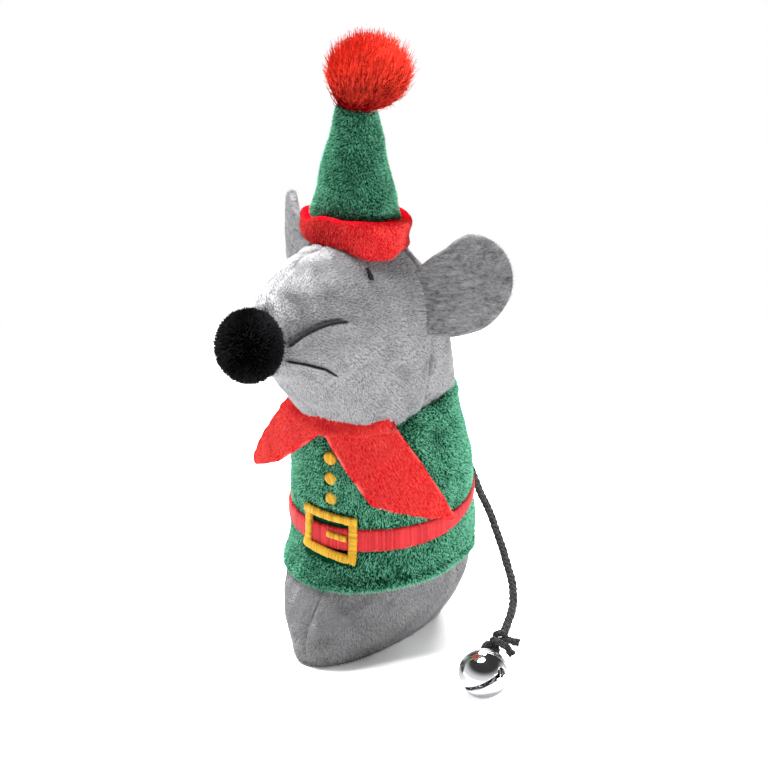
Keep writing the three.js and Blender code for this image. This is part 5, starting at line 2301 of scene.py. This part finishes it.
@dataclass
class Costume:
    """The tunic and what is embroidered on it: the belt, the buckle and the buttons."""

    shop: Workshop
    collar: Collar
    front_hem: float = 18.0
    back_hem: float = 22.0
    front_neckline: float = 56.8
    back_neckline: float = 64.6
    hem_width: float = 2.8
    hem_fold: float = 0.6
    belt_width: float = 6
    belt_front: float = 30.4
    belt_back: float = 34.6
    buckle_width: float = 14.2
    buckle_height: float = 12.2
    buckle_bar: float = 2.2
    buckle_shift: float = -0.1
    prong_length: float = 5
    prong_width: float = 1.7
    button_diameter: float = 3.3
    button_turn: float = 0.03
    button_shares: tuple = (0.275, 0.53, 0.782)
    stitch_spacing: float = 0.33
    settle: float = 0.55
    belt_stand: float = 0.75
    buckle_rise: float = 0.6
    # How far the neckline is drawn up at each side, and the turns between which it climbs
    neck_draw_right: tuple = (3.5, 0.25, 0.7)
    neck_draw_left: tuple = (1.3, 0.5, 1.1)
    neck_draw_end: tuple = (2.7, 2.1)
    edge_rounding: float = 0.35
    # How far the cloth leans in at the neck and puffs out away from the belt, each with the height it takes
    neck_lean: tuple = (1.1, 3.4)
    puff: tuple = (0.4, 5.2)
    lumps: float = 0.3
    # The crease beside the neck: its depth, width, height below the neckline and turn
    crease: tuple = (0.75, 1.7, 9, 1.75)
    # How far the waist is drawn in on the right, and the turns of its middle and its width
    waist: tuple = (0.5, -1.35, 0.7)
    # How far from a button and from a flap's seat the pile starts and stands whole
    button_room: tuple = (1.4, 2.3)
    seat_room: tuple = (0.75, 1.5)
    belt_row_shares: tuple = (-0.5, -0.46, -0.3, 0, 0.3, 0.46, 0.5)
    belt_edge_share: float = 0.48
    belt_edge_drop: float = 0.25
    belt_patch_share: float = 0.94
    belt_patch_depth: float = 0.22
    stitch_depth: float = 0.2
    stitch_lean: float = 0.025
    stitch_over: float = 0.1
    stitch_short: float = 0.35
    belt_gap_turn: float = 0.02
    belt_rise: float = 0.2
    # Each rise of the belt and the turns of its middle and its width
    belt_rises: tuple = ((0.9, -0.95, 0.6), (2.2, 2.15, 0.5))
    belt_share: float = 0.96
    belt_hidden_shares: tuple = ((0.22, -1.0, 0.6), (0.46, 1.95, 0.65))
    patch_share: float = 0.8
    stitch_uneven: float = 0.07

    @property
    def belt_outer(self) -> float:
        """How far the belt's face stands off the body, sunk in the pile."""
        return TUNIC_OUTER - self.settle + self.belt_stand

    @property
    def back_turn(self) -> float:
        """The turn of the edges that meet at the back seam."""
        return math.pi - SEAM_GAP / 2 / BODY.torso_half_width

    def neckline(self, turn: Array) -> Array:
        """The height of the neckline, which is drawn up against the head at both sides.

        Args:
            turn: turns about the upright axis.

        Returns:
            The neckline's heights.
        """
        aside = np.abs(turn)
        (right, *right_turns), (left, *left_turns) = self.neck_draw_right, self.neck_draw_left
        drawn = np.where(turn < 0, right * smooth(*right_turns, aside), left * smooth(*left_turns, aside))
        plain = BODY.climb(self.front_neckline, self.back_neckline, turn)
        return plain + drawn * smooth(*self.neck_draw_end, aside)

    def belt_middle(self, turn: Array) -> Array:
        """The height of the belt's middle, a little drawn up beside the buckle."""
        raised = sum(rise * hump(turn - middle, width) for rise, middle, width in self.belt_rises)
        return BODY.climb(self.belt_front, self.belt_back, turn) + self.belt_rise + raised

    def belt_shown(self, turn: Array) -> Array:
        """How wide the belt shows, as pile hides its edges at the sides."""
        hidden = sum(share * hump(turn - middle, width) for share, middle, width in self.belt_hidden_shares)
        return self.belt_width * (self.belt_share - hidden)

    def buckle_lift(self, place: Array, up: Array) -> Array:
        """How far the buckle is drawn up, most at one lower corner, as its stitching isn't quite square.

        Args:
            place: places across the front.
            up: places up the buckle.

        Returns:
            The lifts.
        """
        aside = 0.5 - (place - self.buckle_shift) / self.buckle_width
        below = 0.5 - up / self.buckle_height
        return self.buckle_rise + aside * (0.4 + 1.2 * below)

    def button_heights(self) -> list[float]:
        """The heights of the buttons, from the collar down."""
        drop = self.collar.height - self.belt_front - self.buckle_height / 2
        return [self.collar.height - drop * share for share in self.button_shares]

    def build(self) -> None:
        """Makes the tunic and its embroidery."""
        self.build_tunic()
        self.build_belt()
        self.build_buckle()
        self.build_buttons()

    def relief(self, turn: Array, height: Array) -> Array:
        """How far the tunic's cloth stands off its plain form: hem, soft lumps and the folds by the neck.

        Args:
            turn: turns about the upright axis.
            height: heights.

        Returns:
            The distances off the form.
        """
        belt = self.belt_middle(turn)
        hem = BODY.climb(self.front_hem, self.back_hem, turn)
        neckline = self.neckline(turn)
        place = BODY.point(turn, height)
        above = (height - hem) / self.hem_width
        turned = self.hem_fold * np.sin(math.pi * np.clip(above, 0, 1)) - 0.2 * hump(above - 1.12, 0.2)
        puff, puff_height = self.puff
        puffed = puff * (1 - hump(height - belt, puff_height)) * smooth(0, 4, height - hem)
        puffed = puffed * smooth(-0.5, 4, neckline - height)
        lumps = self.lumps * ripple(place, length=11, seed=12) * smooth(3, 6, np.abs(height - belt))
        depth, wide, drop, crease_turn = self.crease
        beside = (height - (neckline - drop)) * 0.6 + (turn - crease_turn) * 17
        fold = depth * hump(beside, wide) * smooth(14, 5, neckline - height) * smooth(1.2, 1.5, turn)
        flat_front = 1 - hump(turn, 0.35) * (height < belt + 8)
        drawn, waist_turn, waist_width = self.waist
        waist = drawn * hump(turn - waist_turn, waist_width)
        return turned + (puffed + lumps) * flat_front + fold - waist

    def build_tunic(self) -> None:
        """Makes the tunic, a cylinder of cloth closed at the back seam."""
        share = np.linspace(0, 1, 168)
        turn = (2 * share - 1) * self.back_turn
        rise = np.concatenate([np.linspace(0, 0.075, 9), np.linspace(0.09, 1, 66)])
        rise, turn = np.meshgrid(rise, turn, indexing="ij")
        hem = BODY.climb(self.front_hem, self.back_hem, turn)
        neckline = self.neckline(turn)
        height = hem + (neckline - hem) * rise
        edge = np.minimum(rise, 1 - rise) * (neckline - hem)
        round_off = self.edge_rounding * (1 - smooth(0, 1.0, edge))
        leaned, lean_height = self.neck_lean
        lean = leaned * smooth(lean_height, 0, neckline - height)
        stand = TUNIC_OUTER - self.settle + self.relief(turn, height) - lean
        outer = BODY.point(turn, height, stand - round_off)
        inner = BODY.point(turn, height, stand - TUNIC_THICKNESS + round_off)
        cover = self.tunic_cover(turn, height, outer)
        aside = np.stack([np.cos(turn), np.sin(turn), np.zeros_like(turn)], axis=-1)
        comb = DOWN + 0.5 * ripple(outer, length=6, seed=15)[..., None] * aside
        tunic = cloth(outer, inner, cover=cover, comb=comb)
        piece = GREEN_NAP.grown(self.shop, tunic, "tunic_plush", Finishes.GREEN_PLUSH, 80)
        dress(piece, "toy", "green_plush", "tunic")

    def tunic_cover(self, turn: Array, height: Array, outer: Array) -> Array:
        """How much of the tunic's pile stands free: none under the embroidery and the flaps.

        Args:
            turn: turns about the upright axis.
            height: heights.
            outer: places on the tunic's outside.

        Returns:
            Shares from none to all.
        """
        beyond = np.abs(height - self.belt_middle(turn)) - self.belt_shown(turn) / 2
        free = smooth(-0.6, 0.1, beyond)
        place, ahead = BODY.torso_half_width * np.sin(turn), np.cos(turn) > 0
        across = np.abs(place - self.buckle_shift) - self.buckle_width / 2
        upward = np.abs(height - self.belt_front) - self.buckle_height / 2
        free *= np.where(ahead, smooth(-0.2, 0.8, np.maximum(across, upward)), 1)
        for button in self.button_heights():
            free *= np.where(ahead, smooth(*self.button_room, np.hypot(place, height - button)), 1)
        seats = self.collar.seats()
        flat = outer.reshape(-1, 3)
        least = np.full(len(flat), np.inf)
        for chunk in np.array_split(seats, 8):
            gaps = np.linalg.norm(flat[:, None] - chunk[None], axis=2)
            least = np.minimum(least, gaps.min(axis=1))
        return free * smooth(*self.seat_room, least).reshape(free.shape)

    def build_belt(self) -> None:
        """Makes the belt: close upright satin stitches over a band."""
        share = np.linspace(0, 1, 200)
        turn = (2 * share - 1) * self.back_turn
        row, turn = np.meshgrid(self.belt_row_shares, turn, indexing="ij")
        height = self.belt_middle(turn) + self.belt_shown(turn) * self.belt_patch_share * row
        edge = self.belt_edge_drop * (np.abs(row) > self.belt_edge_share)
        outer = BODY.point(turn, height, self.belt_outer - self.belt_patch_depth - edge)
        inner = BODY.point(turn, height, self.belt_outer - THREAD_THICKNESS)
        # The band under the satin stitches is darker: painted shade between the stitches
        band = cloth(outer, inner, tuft=UNDERLAY_PAINTED_SHADE)
        count = int(2 * math.pi * (BODY.torso_half_width + self.belt_outer) / self.stitch_spacing)
        chance = np.random.default_rng(5)
        last = math.pi - self.belt_gap_turn
        turn = np.linspace(-last, last, count)
        height = self.belt_middle(turn) + chance.normal(0, self.stitch_uneven, count)
        lean = chance.normal(0, self.stitch_lean, count)
        reach = self.belt_shown(turn) + self.stitch_over - chance.uniform(0, self.stitch_short, count)
        self.add_stitches(band, turn, height, self.belt_outer - self.stitch_depth, (lean, 1.0), reach)
        piece = self.sewn(band, "belt_embroidery", Finishes.RED_THREAD, thread=0.5, arch=0.28)
        dress(piece, "toy", "red_thread", "belt")

    def add_stitches(
        self,
        surface: Surface,
        turn: Array,
        height: Array,
        offset: float,
        way: tuple,
        reach: Array,
    ) -> None:
        """Adds the places of stitches that lie on the body's front or sides.

        Args:
            surface: what they are added to.
            turn: the turn of each.
            height: the height of each.
            offset: how far off the body they lie.
            way: their direction, as parts round the body and up.
            reach: the length of each.
        """
        step = 0.01
        places = BODY.point(turn, height, offset)
        around = unit(BODY.point(turn + step, height) - BODY.point(turn - step, height))
        upward = unit(BODY.point(turn, height + step) - BODY.point(turn, height - step))
        side, rise = (np.broadcast_to(part, turn.shape)[:, None] for part in way)
        along = unit(around * side + upward * rise)
        surface.add(places, [], out=BODY.normal(turn, height), comb=along, reach=reach)

    def sewn(
        self, surface: Surface, name: str, finish: Finishes, thread: float, arch: float
    ) -> Piece:
        """Makes a piece and lays its threads.

        Args:
            surface: its surface, with its loose stitch points.
            name: its name.
            finish: its material.
            thread: the thread's width in millimetres.
            arch: how far a stitch rises in its middle, as a share of that.

        Returns:
            The piece.
        """
        piece, material = surface.piece(name, finish), finish.material()
        return self.shop.stitches.grown(piece, Thread=thread * MM, Arch=arch, Material=material)

    def patch(self, middle: tuple, size: tuple, offsets: tuple, columns: int = 24) -> Surface:
        """A thin patch of the buckle.

        Args:
            middle: the place of its middle, to the toy's left and up from the belt's height.
            size: its width and height.
            offsets: how far off the body its inside and its outside lie.
            columns: its columns.

        Returns:
            The patch.
        """
        place = middle[0] + size[0] * (np.linspace(0, 1, columns) - 0.5)
        up = middle[1] + size[1] * (np.linspace(0, 1, 5) - 0.5)
        up, place = np.meshgrid(up, place, indexing="ij")
        turn = np.arcsin(place / BODY.torso_half_width)
        height = self.belt_front + up + self.buckle_lift(place, up)
        inner, outer = (BODY.point(turn, height, offset) for offset in offsets)
        # The patch is darker than its stitches: painted shade between them
        return cloth(outer, inner, tuft=UNDERLAY_PAINTED_SHADE)

    def bar(self, surface: Surface, start: tuple, end: tuple, width: float, face: float, seed: int) -> None:
        """Adds the stitches across one bar of the buckle.

        Args:
            surface: what they are added to.
            start: where the bar starts, to the toy's left and up from the belt's height.
            end: where it ends.
            width: the bar's width.
            face: how far off the body they lie.
            seed: which unevenness.
        """
        chance = np.random.default_rng(seed)
        start, end = np.array(start, float), np.array(end, float)
        count = int(np.linalg.norm(end - start) / self.stitch_spacing)
        place, up = (start + (end - start) * np.linspace(0, 1, count)[:, None]).T
        turn = np.arcsin(place / BODY.torso_half_width)
        height = self.belt_front + up + self.buckle_lift(place, up)
        along = unit(end - start)
        uneven = chance.normal(0, self.stitch_uneven, count)
        way = (-along[1] + uneven * along[0], along[0] + uneven * along[1])
        self.add_stitches(surface, turn, height, face, way, width + chance.uniform(-0.25, 0.2, count))

    def build_buckle(self) -> None:
        """Makes the buckle's frame and prong, stitched across their bars."""
        seat = self.belt_outer - CLEARANCE
        face, lower = seat + THREAD_THICKNESS, seat + THREAD_THICKNESS - 0.1
        bar, levels = self.buckle_bar, (seat, face - 0.25)
        thick, half = bar * self.patch_share, (self.buckle_height - bar) / 2
        aside = (self.buckle_width - bar) / 2
        left, right = self.buckle_shift - aside, self.buckle_shift + aside
        # The patches under the bars are darker: painted shade between the stitches
        frame = Surface()
        for number, place in enumerate((left, right)):
            upright = self.patch((place, 0), (thick, 2 * half + thick), levels, 5)
            frame.add(np.vstack(upright.points), upright.faces, tuft=UNDERLAY_PAINTED_SHADE)
            self.bar(frame, (place, -half), (place, half), bar, lower, 90 + number)
        reach = bar * 0.36
        for number, up in enumerate((-half, half)):
            level = self.patch((self.buckle_shift, up), (right - left + thick, thick), levels)
            frame.add(np.vstack(level.points), level.faces, tuft=UNDERLAY_PAINTED_SHADE)
            self.bar(frame, (left - reach, up), (right + reach, up), bar, face, 92 + number)
        piece = self.sewn(frame, "buckle_embroidery", Finishes.GOLD_THREAD, thread=0.52, arch=0.6)
        dress(piece, "toy", "gold_thread", "buckle_frame")
        end = right - bar / 2 - CLEARANCE
        start = end - self.prong_length
        size = (self.prong_length * 0.94, self.prong_width * self.patch_share)
        prong = self.patch(((start + end) / 2, 0), size, levels, 10)
        self.bar(prong, (start + 0.2, 0), (end - 0.2, 0), self.prong_width, lower, 94)
        piece = self.sewn(prong, "prong_embroidery", Finishes.GOLD_THREAD, thread=0.5, arch=0.5)
        dress(piece, "toy", "gold_thread", "buckle_prong")

    def build_buttons(self) -> None:
        """Makes the three embroidered buttons, each a low dome of satin stitches."""
        radius, edge, dome_rise, count = self.button_diameter / 2, 0.2, 0.5, 11
        seat = TUNIC_OUTER - self.settle + CLEARANCE / 2
        tilt = np.linspace(0.02, math.pi / 2, 9)[1:]
        profile = [(0.0, 0.0), (radius * 0.9, 0.0), (radius, edge)]
        profile += [(radius * 0.97 * math.cos(angle), edge + dome_rise * math.sin(angle)) for angle in tilt]
        shift = np.linspace(-0.92, 0.92, count)
        round_share = np.sqrt(1 - shift**2)
        chance = np.random.default_rng(11)
        for number, height in enumerate(self.button_heights(), 1):
            spot = np.array(self.button_turn), np.array(height)
            centre, out = BODY.point(*spot, seat), BODY.normal(*spot)
            lean = 0.35 * (number - 2) + 0.2
            across = unit(np.cross(UP, out) + lean * UP)
            upward = np.cross(out, across)
            rings = lathe(profile, 28) @ np.array([across, upward, out]) + centre
            # The dome under the button's stitches is darker: painted shade between them
            dome = solid(rings, tuft=np.full(rings.shape[:2], UNDERLAY_PAINTED_SHADE))
            reach = 2 * radius * round_share * chance.uniform(0.95, 1.08, count)
            rise = (edge + dome_rise * round_share) * 0.8
            places = centre + across * (shift * radius)[:, None] + out * rise[:, None]
            ways = unit(upward + across * chance.normal(0, 0.05, (count, 1)))
            outs = np.broadcast_to(out, ways.shape)
            dome.add(places, [], out=outs, comb=ways, reach=np.maximum(reach, 0.7))
            name = f"button_thread_{number}"
            piece = self.sewn(dome, name, Finishes.GOLD_THREAD, thread=0.44, arch=0.5)
            dress(piece, "toy", "gold_thread", f"button_{number}")


@dataclass
class Hat:
    """The elf's hat: a cone of green plush, a rolled red brim and a long-haired red pompom."""

    shop: Workshop
    base_diameter: float = 23.4
    top_diameter: float = 9.4
    height: float = 30.2
    shift: float = -0.6
    reach: float = 10.8
    sink: float = 0.5
    roll: float = math.radians(3.4)
    pitch: float = math.radians(2)
    brim_diameter: float = 26.4
    brim_drop: float = 3.5
    brim_rise: float = 5.4
    brim_raise: float = 2.2
    brim_high_turn: float = math.radians(-118)
    lip_high_turn: float = math.radians(-56)
    lip_drop: float = 2.0
    # The brim's profile: out from its face and up from its foot, then out and up from its top
    brim_foot: tuple = ((-2.4, 0), (-1.1, -0.1), (-0.35, 0.35), (0, 1.2))
    brim_face: tuple = (-0.05, 1.9, -2.6)
    brim_lip: tuple = (
        (0.15, -1.9), (0.25, -1.2), (0.1, -0.5), (-0.4, -0.05), (-1.0, 0), (-1.7, -0.2), (-2.2, -0.5)
    )
    brim_hold: tuple = (0.5, -0.8)
    # Each wave of the brim's lower edge: its height, how often it comes round and its start
    brim_waves: tuple = ((0.3, 5, 0.6), (0.2, 9, 0))
    lip_wave: tuple = (0.2, 7, 1)
    # The lip's bulge beside the raised side: its height, and the turns of its middle and its width
    lip_bulge: tuple = (0.7, 0.6, 0.5)
    brim_lumps: float = 0.22
    cone_lumps: float = 0.28
    inner_room: float = 0.15
    inner_drop: float = 0.6
    pompom_width: float = 20.4
    pompom_height: float = 18.6
    pompom_shift: tuple = (2.5, 1.6)
    pompom_lift: float = 7.4
    pile_room: float = 0.6
    foot_push: tuple = (0.45, 0.3)
    foot: float = -0.9
    # The cone's rounded top: how far each of its last rows lies below the top and inside the slope
    tip_drops: tuple = (1, 0.4, 0)
    tip_insets: tuple = (0.15, 0.7, 1.7)
    sides: int = 120

    def placed(self, local: Array) -> Array:
        """Places in the hat's own axes as places on the toy.

        Args:
            local: places in the hat's axes.

        Returns:
            The places on the toy.
        """
        cos, sin = math.cos(self.pitch), math.sin(self.pitch)
        pitch = np.array([[1, 0, 0], [0, cos, -sin], [0, sin, cos]])
        cos, sin = math.cos(self.roll), math.sin(self.roll)
        roll = np.array([[cos, 0, sin], [0, 1, 0], [-sin, 0, cos]])
        return np.array([self.shift, -self.reach, HEAD.crown_height - self.sink]) + local @ (pitch @ roll).T

    def cone_at(self, height: Array) -> Array:
        """The cloth's radius at a height above the cone's base, under its pile."""
        slope = (self.base_diameter - self.top_diameter) / 2 / self.height
        return self.base_diameter / 2 - slope * height - self.pile_room

    def sheared(self, rings: Array) -> Array:
        """The cone with its foot pushed a little to the toy's left."""
        rings[..., :2] += np.array(self.foot_push) * (1 - rings[..., 2:] / self.height)
        return rings

    def build(self) -> None:
        """Makes the cone with its filling, the brim and the pompom."""
        self.build_cone()
        self.build_brim()
        self.build_pompom()

    def build_cone(self) -> None:
        """Makes the cone, closed over its top, and its filling."""
        top = self.height - np.array(self.tip_drops)
        height = np.concatenate([np.linspace(self.foot, top[0], 48), top[1:]])
        radius = self.cone_at(height)
        radius[-3:] -= self.tip_insets
        local = self.sheared(lathe(np.stack([radius, height], axis=1), self.sides))
        turn = np.arctan2(local[..., 1], local[..., 0])
        seam = hump((np.abs(turn - math.pi / 2)) * 9, 0.7) * 0.5
        swell = self.cone_lumps * ripple(local, length=12, seed=21) - seam
        way = unit(local * [1, 1, 0])
        outer = local + way * swell[..., None]
        inner = local - way * PLUSH_THICKNESS
        inner[-1, :, 2] -= PLUSH_THICKNESS
        up = local[..., 2]
        cover = smooth(1.2, 2.2, up) * smooth(self.height + 0.2, self.height - 0.6, up)
        comb = np.broadcast_to(DOWN, local.shape)
        cone = cloth(self.placed(outer), self.placed(inner), True, True, cover=cover, comb=comb)
        piece = HAT_NAP.grown(self.shop, cone, "hat_plush", Finishes.GREEN_PLUSH, 90)
        dress(piece, "toy", "green_plush", "hat_cone")
        inset = PLUSH_THICKNESS + CLEARANCE
        height = np.linspace(self.foot, self.height - inset, 12)
        rings = self.sheared(lathe(np.stack([self.cone_at(height) - inset, height], axis=1), 48))
        filling = solid(self.placed(rings)).piece("hat_filling", Finishes.WHITE_FIBRE)
        dress(filling, "toy", "white_fibre", "hat_stuffing")

    def build_brim(self) -> None:
        """Makes the brim: a folded band with a rolled lip above and a wavy lower edge."""
        radius, foot, top = self.brim_diameter / 2 - self.pile_room, -self.brim_drop, self.brim_rise
        out, low, high = self.brim_face
        hold, drop = self.brim_hold
        profile = [(radius + aside, foot + up) for aside, up in self.brim_foot]
        profile += [(radius + out, height) for height in np.linspace(foot + low, top + high, 10)]
        profile += [(radius + aside, top + up) for aside, up in self.brim_lip]
        profile += [(float(self.cone_at(top)) + hold, top + drop)]
        rings = lathe(profile, self.sides)
        turn = np.arctan2(rings[..., 1], rings[..., 0])
        low = smooth(top, foot, rings[..., 2])
        beside, away = turned_from(turn, self.brim_high_turn), turned_from(turn, self.lip_high_turn)
        wave = self.brim_raise * smooth(1.3, 0.5, beside)
        for rise, times, start in self.brim_waves:
            wave = wave + rise * np.sin(times * turn + start)
        wave = wave * low
        rise, times, start = self.lip_wave
        bulge, bulge_turn, bulge_width = self.lip_bulge
        lip = rise * np.sin(times * turn + start) + bulge * hump(beside - bulge_turn, bulge_width)
        lip = (lip - self.lip_drop * smooth(0.5, 1.5, away)) * (1 - low)
        swell = self.brim_lumps * ripple(rings, length=8, seed=25)
        way = unit(rings * [1, 1, 0])
        outer = rings + way * swell[..., None]
        outer[..., 2] += wave + lip
        height = rings[..., 2] + wave * 0.8 + np.minimum(lip, 0)
        hold = self.cone_at(height) + self.inner_room
        inner = np.stack([np.cos(turn) * hold, np.sin(turn) * hold, height], axis=-1)
        inner[0] = outer[0] * [0.98, 0.98, 1]
        inner[-1] = outer[-1] * [0.99, 0.99, 1] + DOWN * self.inner_drop
        outer, inner = self.sheared(outer), self.sheared(inner)
        aside = np.stack([-np.sin(turn), np.cos(turn), np.zeros_like(turn)], axis=-1)
        comb = DOWN + 0.35 * ripple(rings, length=5, seed=26)[..., None] * aside
        band = cloth(self.placed(outer), self.placed(inner), True, cover=np.ones(turn.shape), comb=comb)
        piece = BRIM_NAP.grown(self.shop, band, "brim_plush", Finishes.RED_PLUSH, 91)
        dress(piece, "toy", "red_plush", "hat_brim")

    def build_pompom(self) -> None:
        """Makes the pompom, whose strands all start at the hat's tip."""
        middle = np.array([*self.pompom_shift, self.height + self.pompom_lift])
        profile = egg(self.pompom_width, self.pompom_height, 37)
        share = np.linspace(0, 1, len(profile))
        profile[:, 0] *= 0.74 + 0.26 * smooth(0.1, 0.6, share)
        rings = lathe(profile, 60) + middle
        rings[..., 2] = np.maximum(rings[..., 2], self.height + 0.2)
        root = self.placed(middle * 0.12 + UP * (self.height + 0.6) * 0.88)
        ball = solid(self.placed(rings))
        piece = POMPOM_FUR.grown(self.shop, ball, "hat_fur", Finishes.RED_FUR, 17, root)
        dress(piece, "toy", "red_fur", "hat_pompom")


# Studio


@dataclass
class Studio:
    """The camera at the photograph's viewpoint, soft light and a white floor."""

    azimuth: float = math.radians(34)
    distance: float = 442
    camera_height: float = 231
    pitch: float = math.radians(20.8)
    aside: float = math.radians(0.095)
    focal_pixels: float = 1936
    frame_pixels: float = 768
    sensor: float = 36
    world_level: float = 0.2
    # Each lamp's name, place and size in metres, and watts
    lamps: tuple = (
        ("key", (-0.2, -0.04, 1.02), 0.5, 34.0),
        ("back", (-0.15, 0.62, 0.62), 0.5, 5.0),
        ("side", (0.17, -0.01, 0.012), 0.05, 0.14),
    )
    aim: tuple = (0, 0, 0.07)
    # What metal mirrors: how high up the room starts and stops to darken, and from what to what
    mirrored_room: tuple = (0.05, 0.6, 0.9, 0.05)
    floor_half: float = 1.5
    floor_gain: float = 2.6
    # Where the shadow stops showing, and how the floor brightens away from the toy in a mirror, in metres
    open_floor: tuple = (0.14, 0.26)
    mirrored_floor: tuple = (0.045, 0.12, 0.2, 1.0)

    def build(self) -> None:
        """Makes the camera, the lamps, the world and the floor."""
        data = bpy.data.cameras.new("camera")
        data.sensor_width = self.sensor
        data.lens = self.focal_pixels / self.frame_pixels * self.sensor
        camera = bpy.data.objects.new("camera", data)
        ground = Vector((math.sin(self.azimuth), -math.cos(self.azimuth), 0)) * self.distance
        camera.location = (ground + Vector((0, 0, self.camera_height))) * MM
        camera.rotation_euler = (math.pi / 2 - self.pitch, 0, self.azimuth - self.aside)
        bpy.context.scene.collection.objects.link(camera)
        bpy.context.scene.camera = camera
        bpy.context.scene.view_settings.view_transform = "Standard"
        for lamp in self.lamps:
            self.lamp(*lamp)
        self.world()
        self.floor()

    def lamp(self, name: str, place: tuple, size: float, watts: float) -> None:
        """Hangs a round soft lamp that faces the toy.

        Args:
            name: its name.
            place: where it hangs, in metres.
            size: its width, in metres.
            watts: its power.
        """
        data = bpy.data.lights.new(name, "AREA")
        data.shape, data.size, data.energy = "DISK", size, watts
        made = bpy.data.objects.new(name, data)
        made.location = place
        made.rotation_euler = (Vector(self.aim) - Vector(place)).to_track_quat("-Z", "Y").to_euler()
        bpy.context.scene.collection.objects.link(made)

    def world(self) -> None:
        """Fills the room with even light, and shows white behind the toy."""
        world = bpy.data.worlds.new("room")
        world.use_nodes = True
        tree = NodeTree(world.node_tree)
        path = tree.node("ShaderNodeLightPath")
        way = tree.wire("ShaderNodeTexCoord", output="Generated")
        seen = Wire(tree, path.outputs["Is Camera Ray"])
        glossy = Wire(tree, path.outputs["Is Glossy Ray"])
        high = tree.split(way)[2]
        limits = dict(zip(("From Min", "From Max", "To Min", "To Max"), self.mirrored_room))
        values = {"Value": high, **limits}
        shade = tree.wire("ShaderNodeMapRange", {"interpolation_type": "SMOOTHSTEP"}, values)
        strength = seen + glossy * shade + (1 - seen) * (1 - glossy) * self.world_level
        back = tree.wire("ShaderNodeBackground", values={"Color": (1, 1, 1, 1), "Strength": strength})
        tree.node("ShaderNodeOutputWorld", values={"Surface": back})
        bpy.context.scene.world = world

    def floor(self) -> None:
        """Lays the floor, so bright to the camera that only the toy's deepest shadow shows on it."""
        half = self.floor_half
        mesh = bpy.data.meshes.new("floor")
        corners = [(-half, -half, 0), (half, -half, 0), (half, half, 0), (-half, half, 0)]
        mesh.from_pydata(corners, [], [(0, 1, 2, 3)])
        shader = Shader("floor")
        matt = shader.wire("ShaderNodeBsdfDiffuse", values={"Color": (0.8, 0.8, 0.8, 1)})
        gain = self.floor_gain
        bright = shader.wire("ShaderNodeBsdfDiffuse", values={"Color": (gain, gain, gain, 1)})
        glow = shader.wire("ShaderNodeEmission", values={"Color": (1, 1, 1, 1), "Strength": 1.0})
        path = shader.node("ShaderNodeLightPath")
        rays = ("Is Camera Ray", "Is Glossy Ray", "Is Transmission Ray")
        seen, mirrored, through_it = (Wire(shader, path.outputs[name]) for name in rays)
        far = shader.vector_maths("LENGTH", shader.place)
        open_floor = shader.stretched(far, *self.open_floor)
        shown = shader.wire("ShaderNodeMixShader", values={0: open_floor, 1: bright, 2: glow})
        both = shader.wire("ShaderNodeMixShader", values={0: seen, 1: matt, 2: shown})
        other = (mirrored + through_it) * shader.stretched(far, *self.mirrored_floor)
        both = shader.wire("ShaderNodeMixShader", values={0: other, 1: both, 2: glow})
        shader.node("ShaderNodeOutputMaterial", values={"Surface": both})
        mesh.materials.append(shader.material)
        made = bpy.data.objects.new("floor", mesh)
        bpy.context.scene.collection.objects.link(made)


def main() -> None:
    """Builds the studio and every part of the toy, and reports each."""
    logging.basicConfig(level=logging.INFO, format="%(message)s")
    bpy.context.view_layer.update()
    Studio().build()
    Tail().build()
    shop = Workshop()
    collar = Collar(shop)
    Head(shop).build()
    Ear(shop, "left_ear", 1, 92.8).build()
    Ear(shop, "right_ear", -1, 95.6).build()
    Body(shop).build()
    Costume(shop, collar).build()
    collar.build()
    Hat(shop).build()


if __name__ == "__main__":
    main()
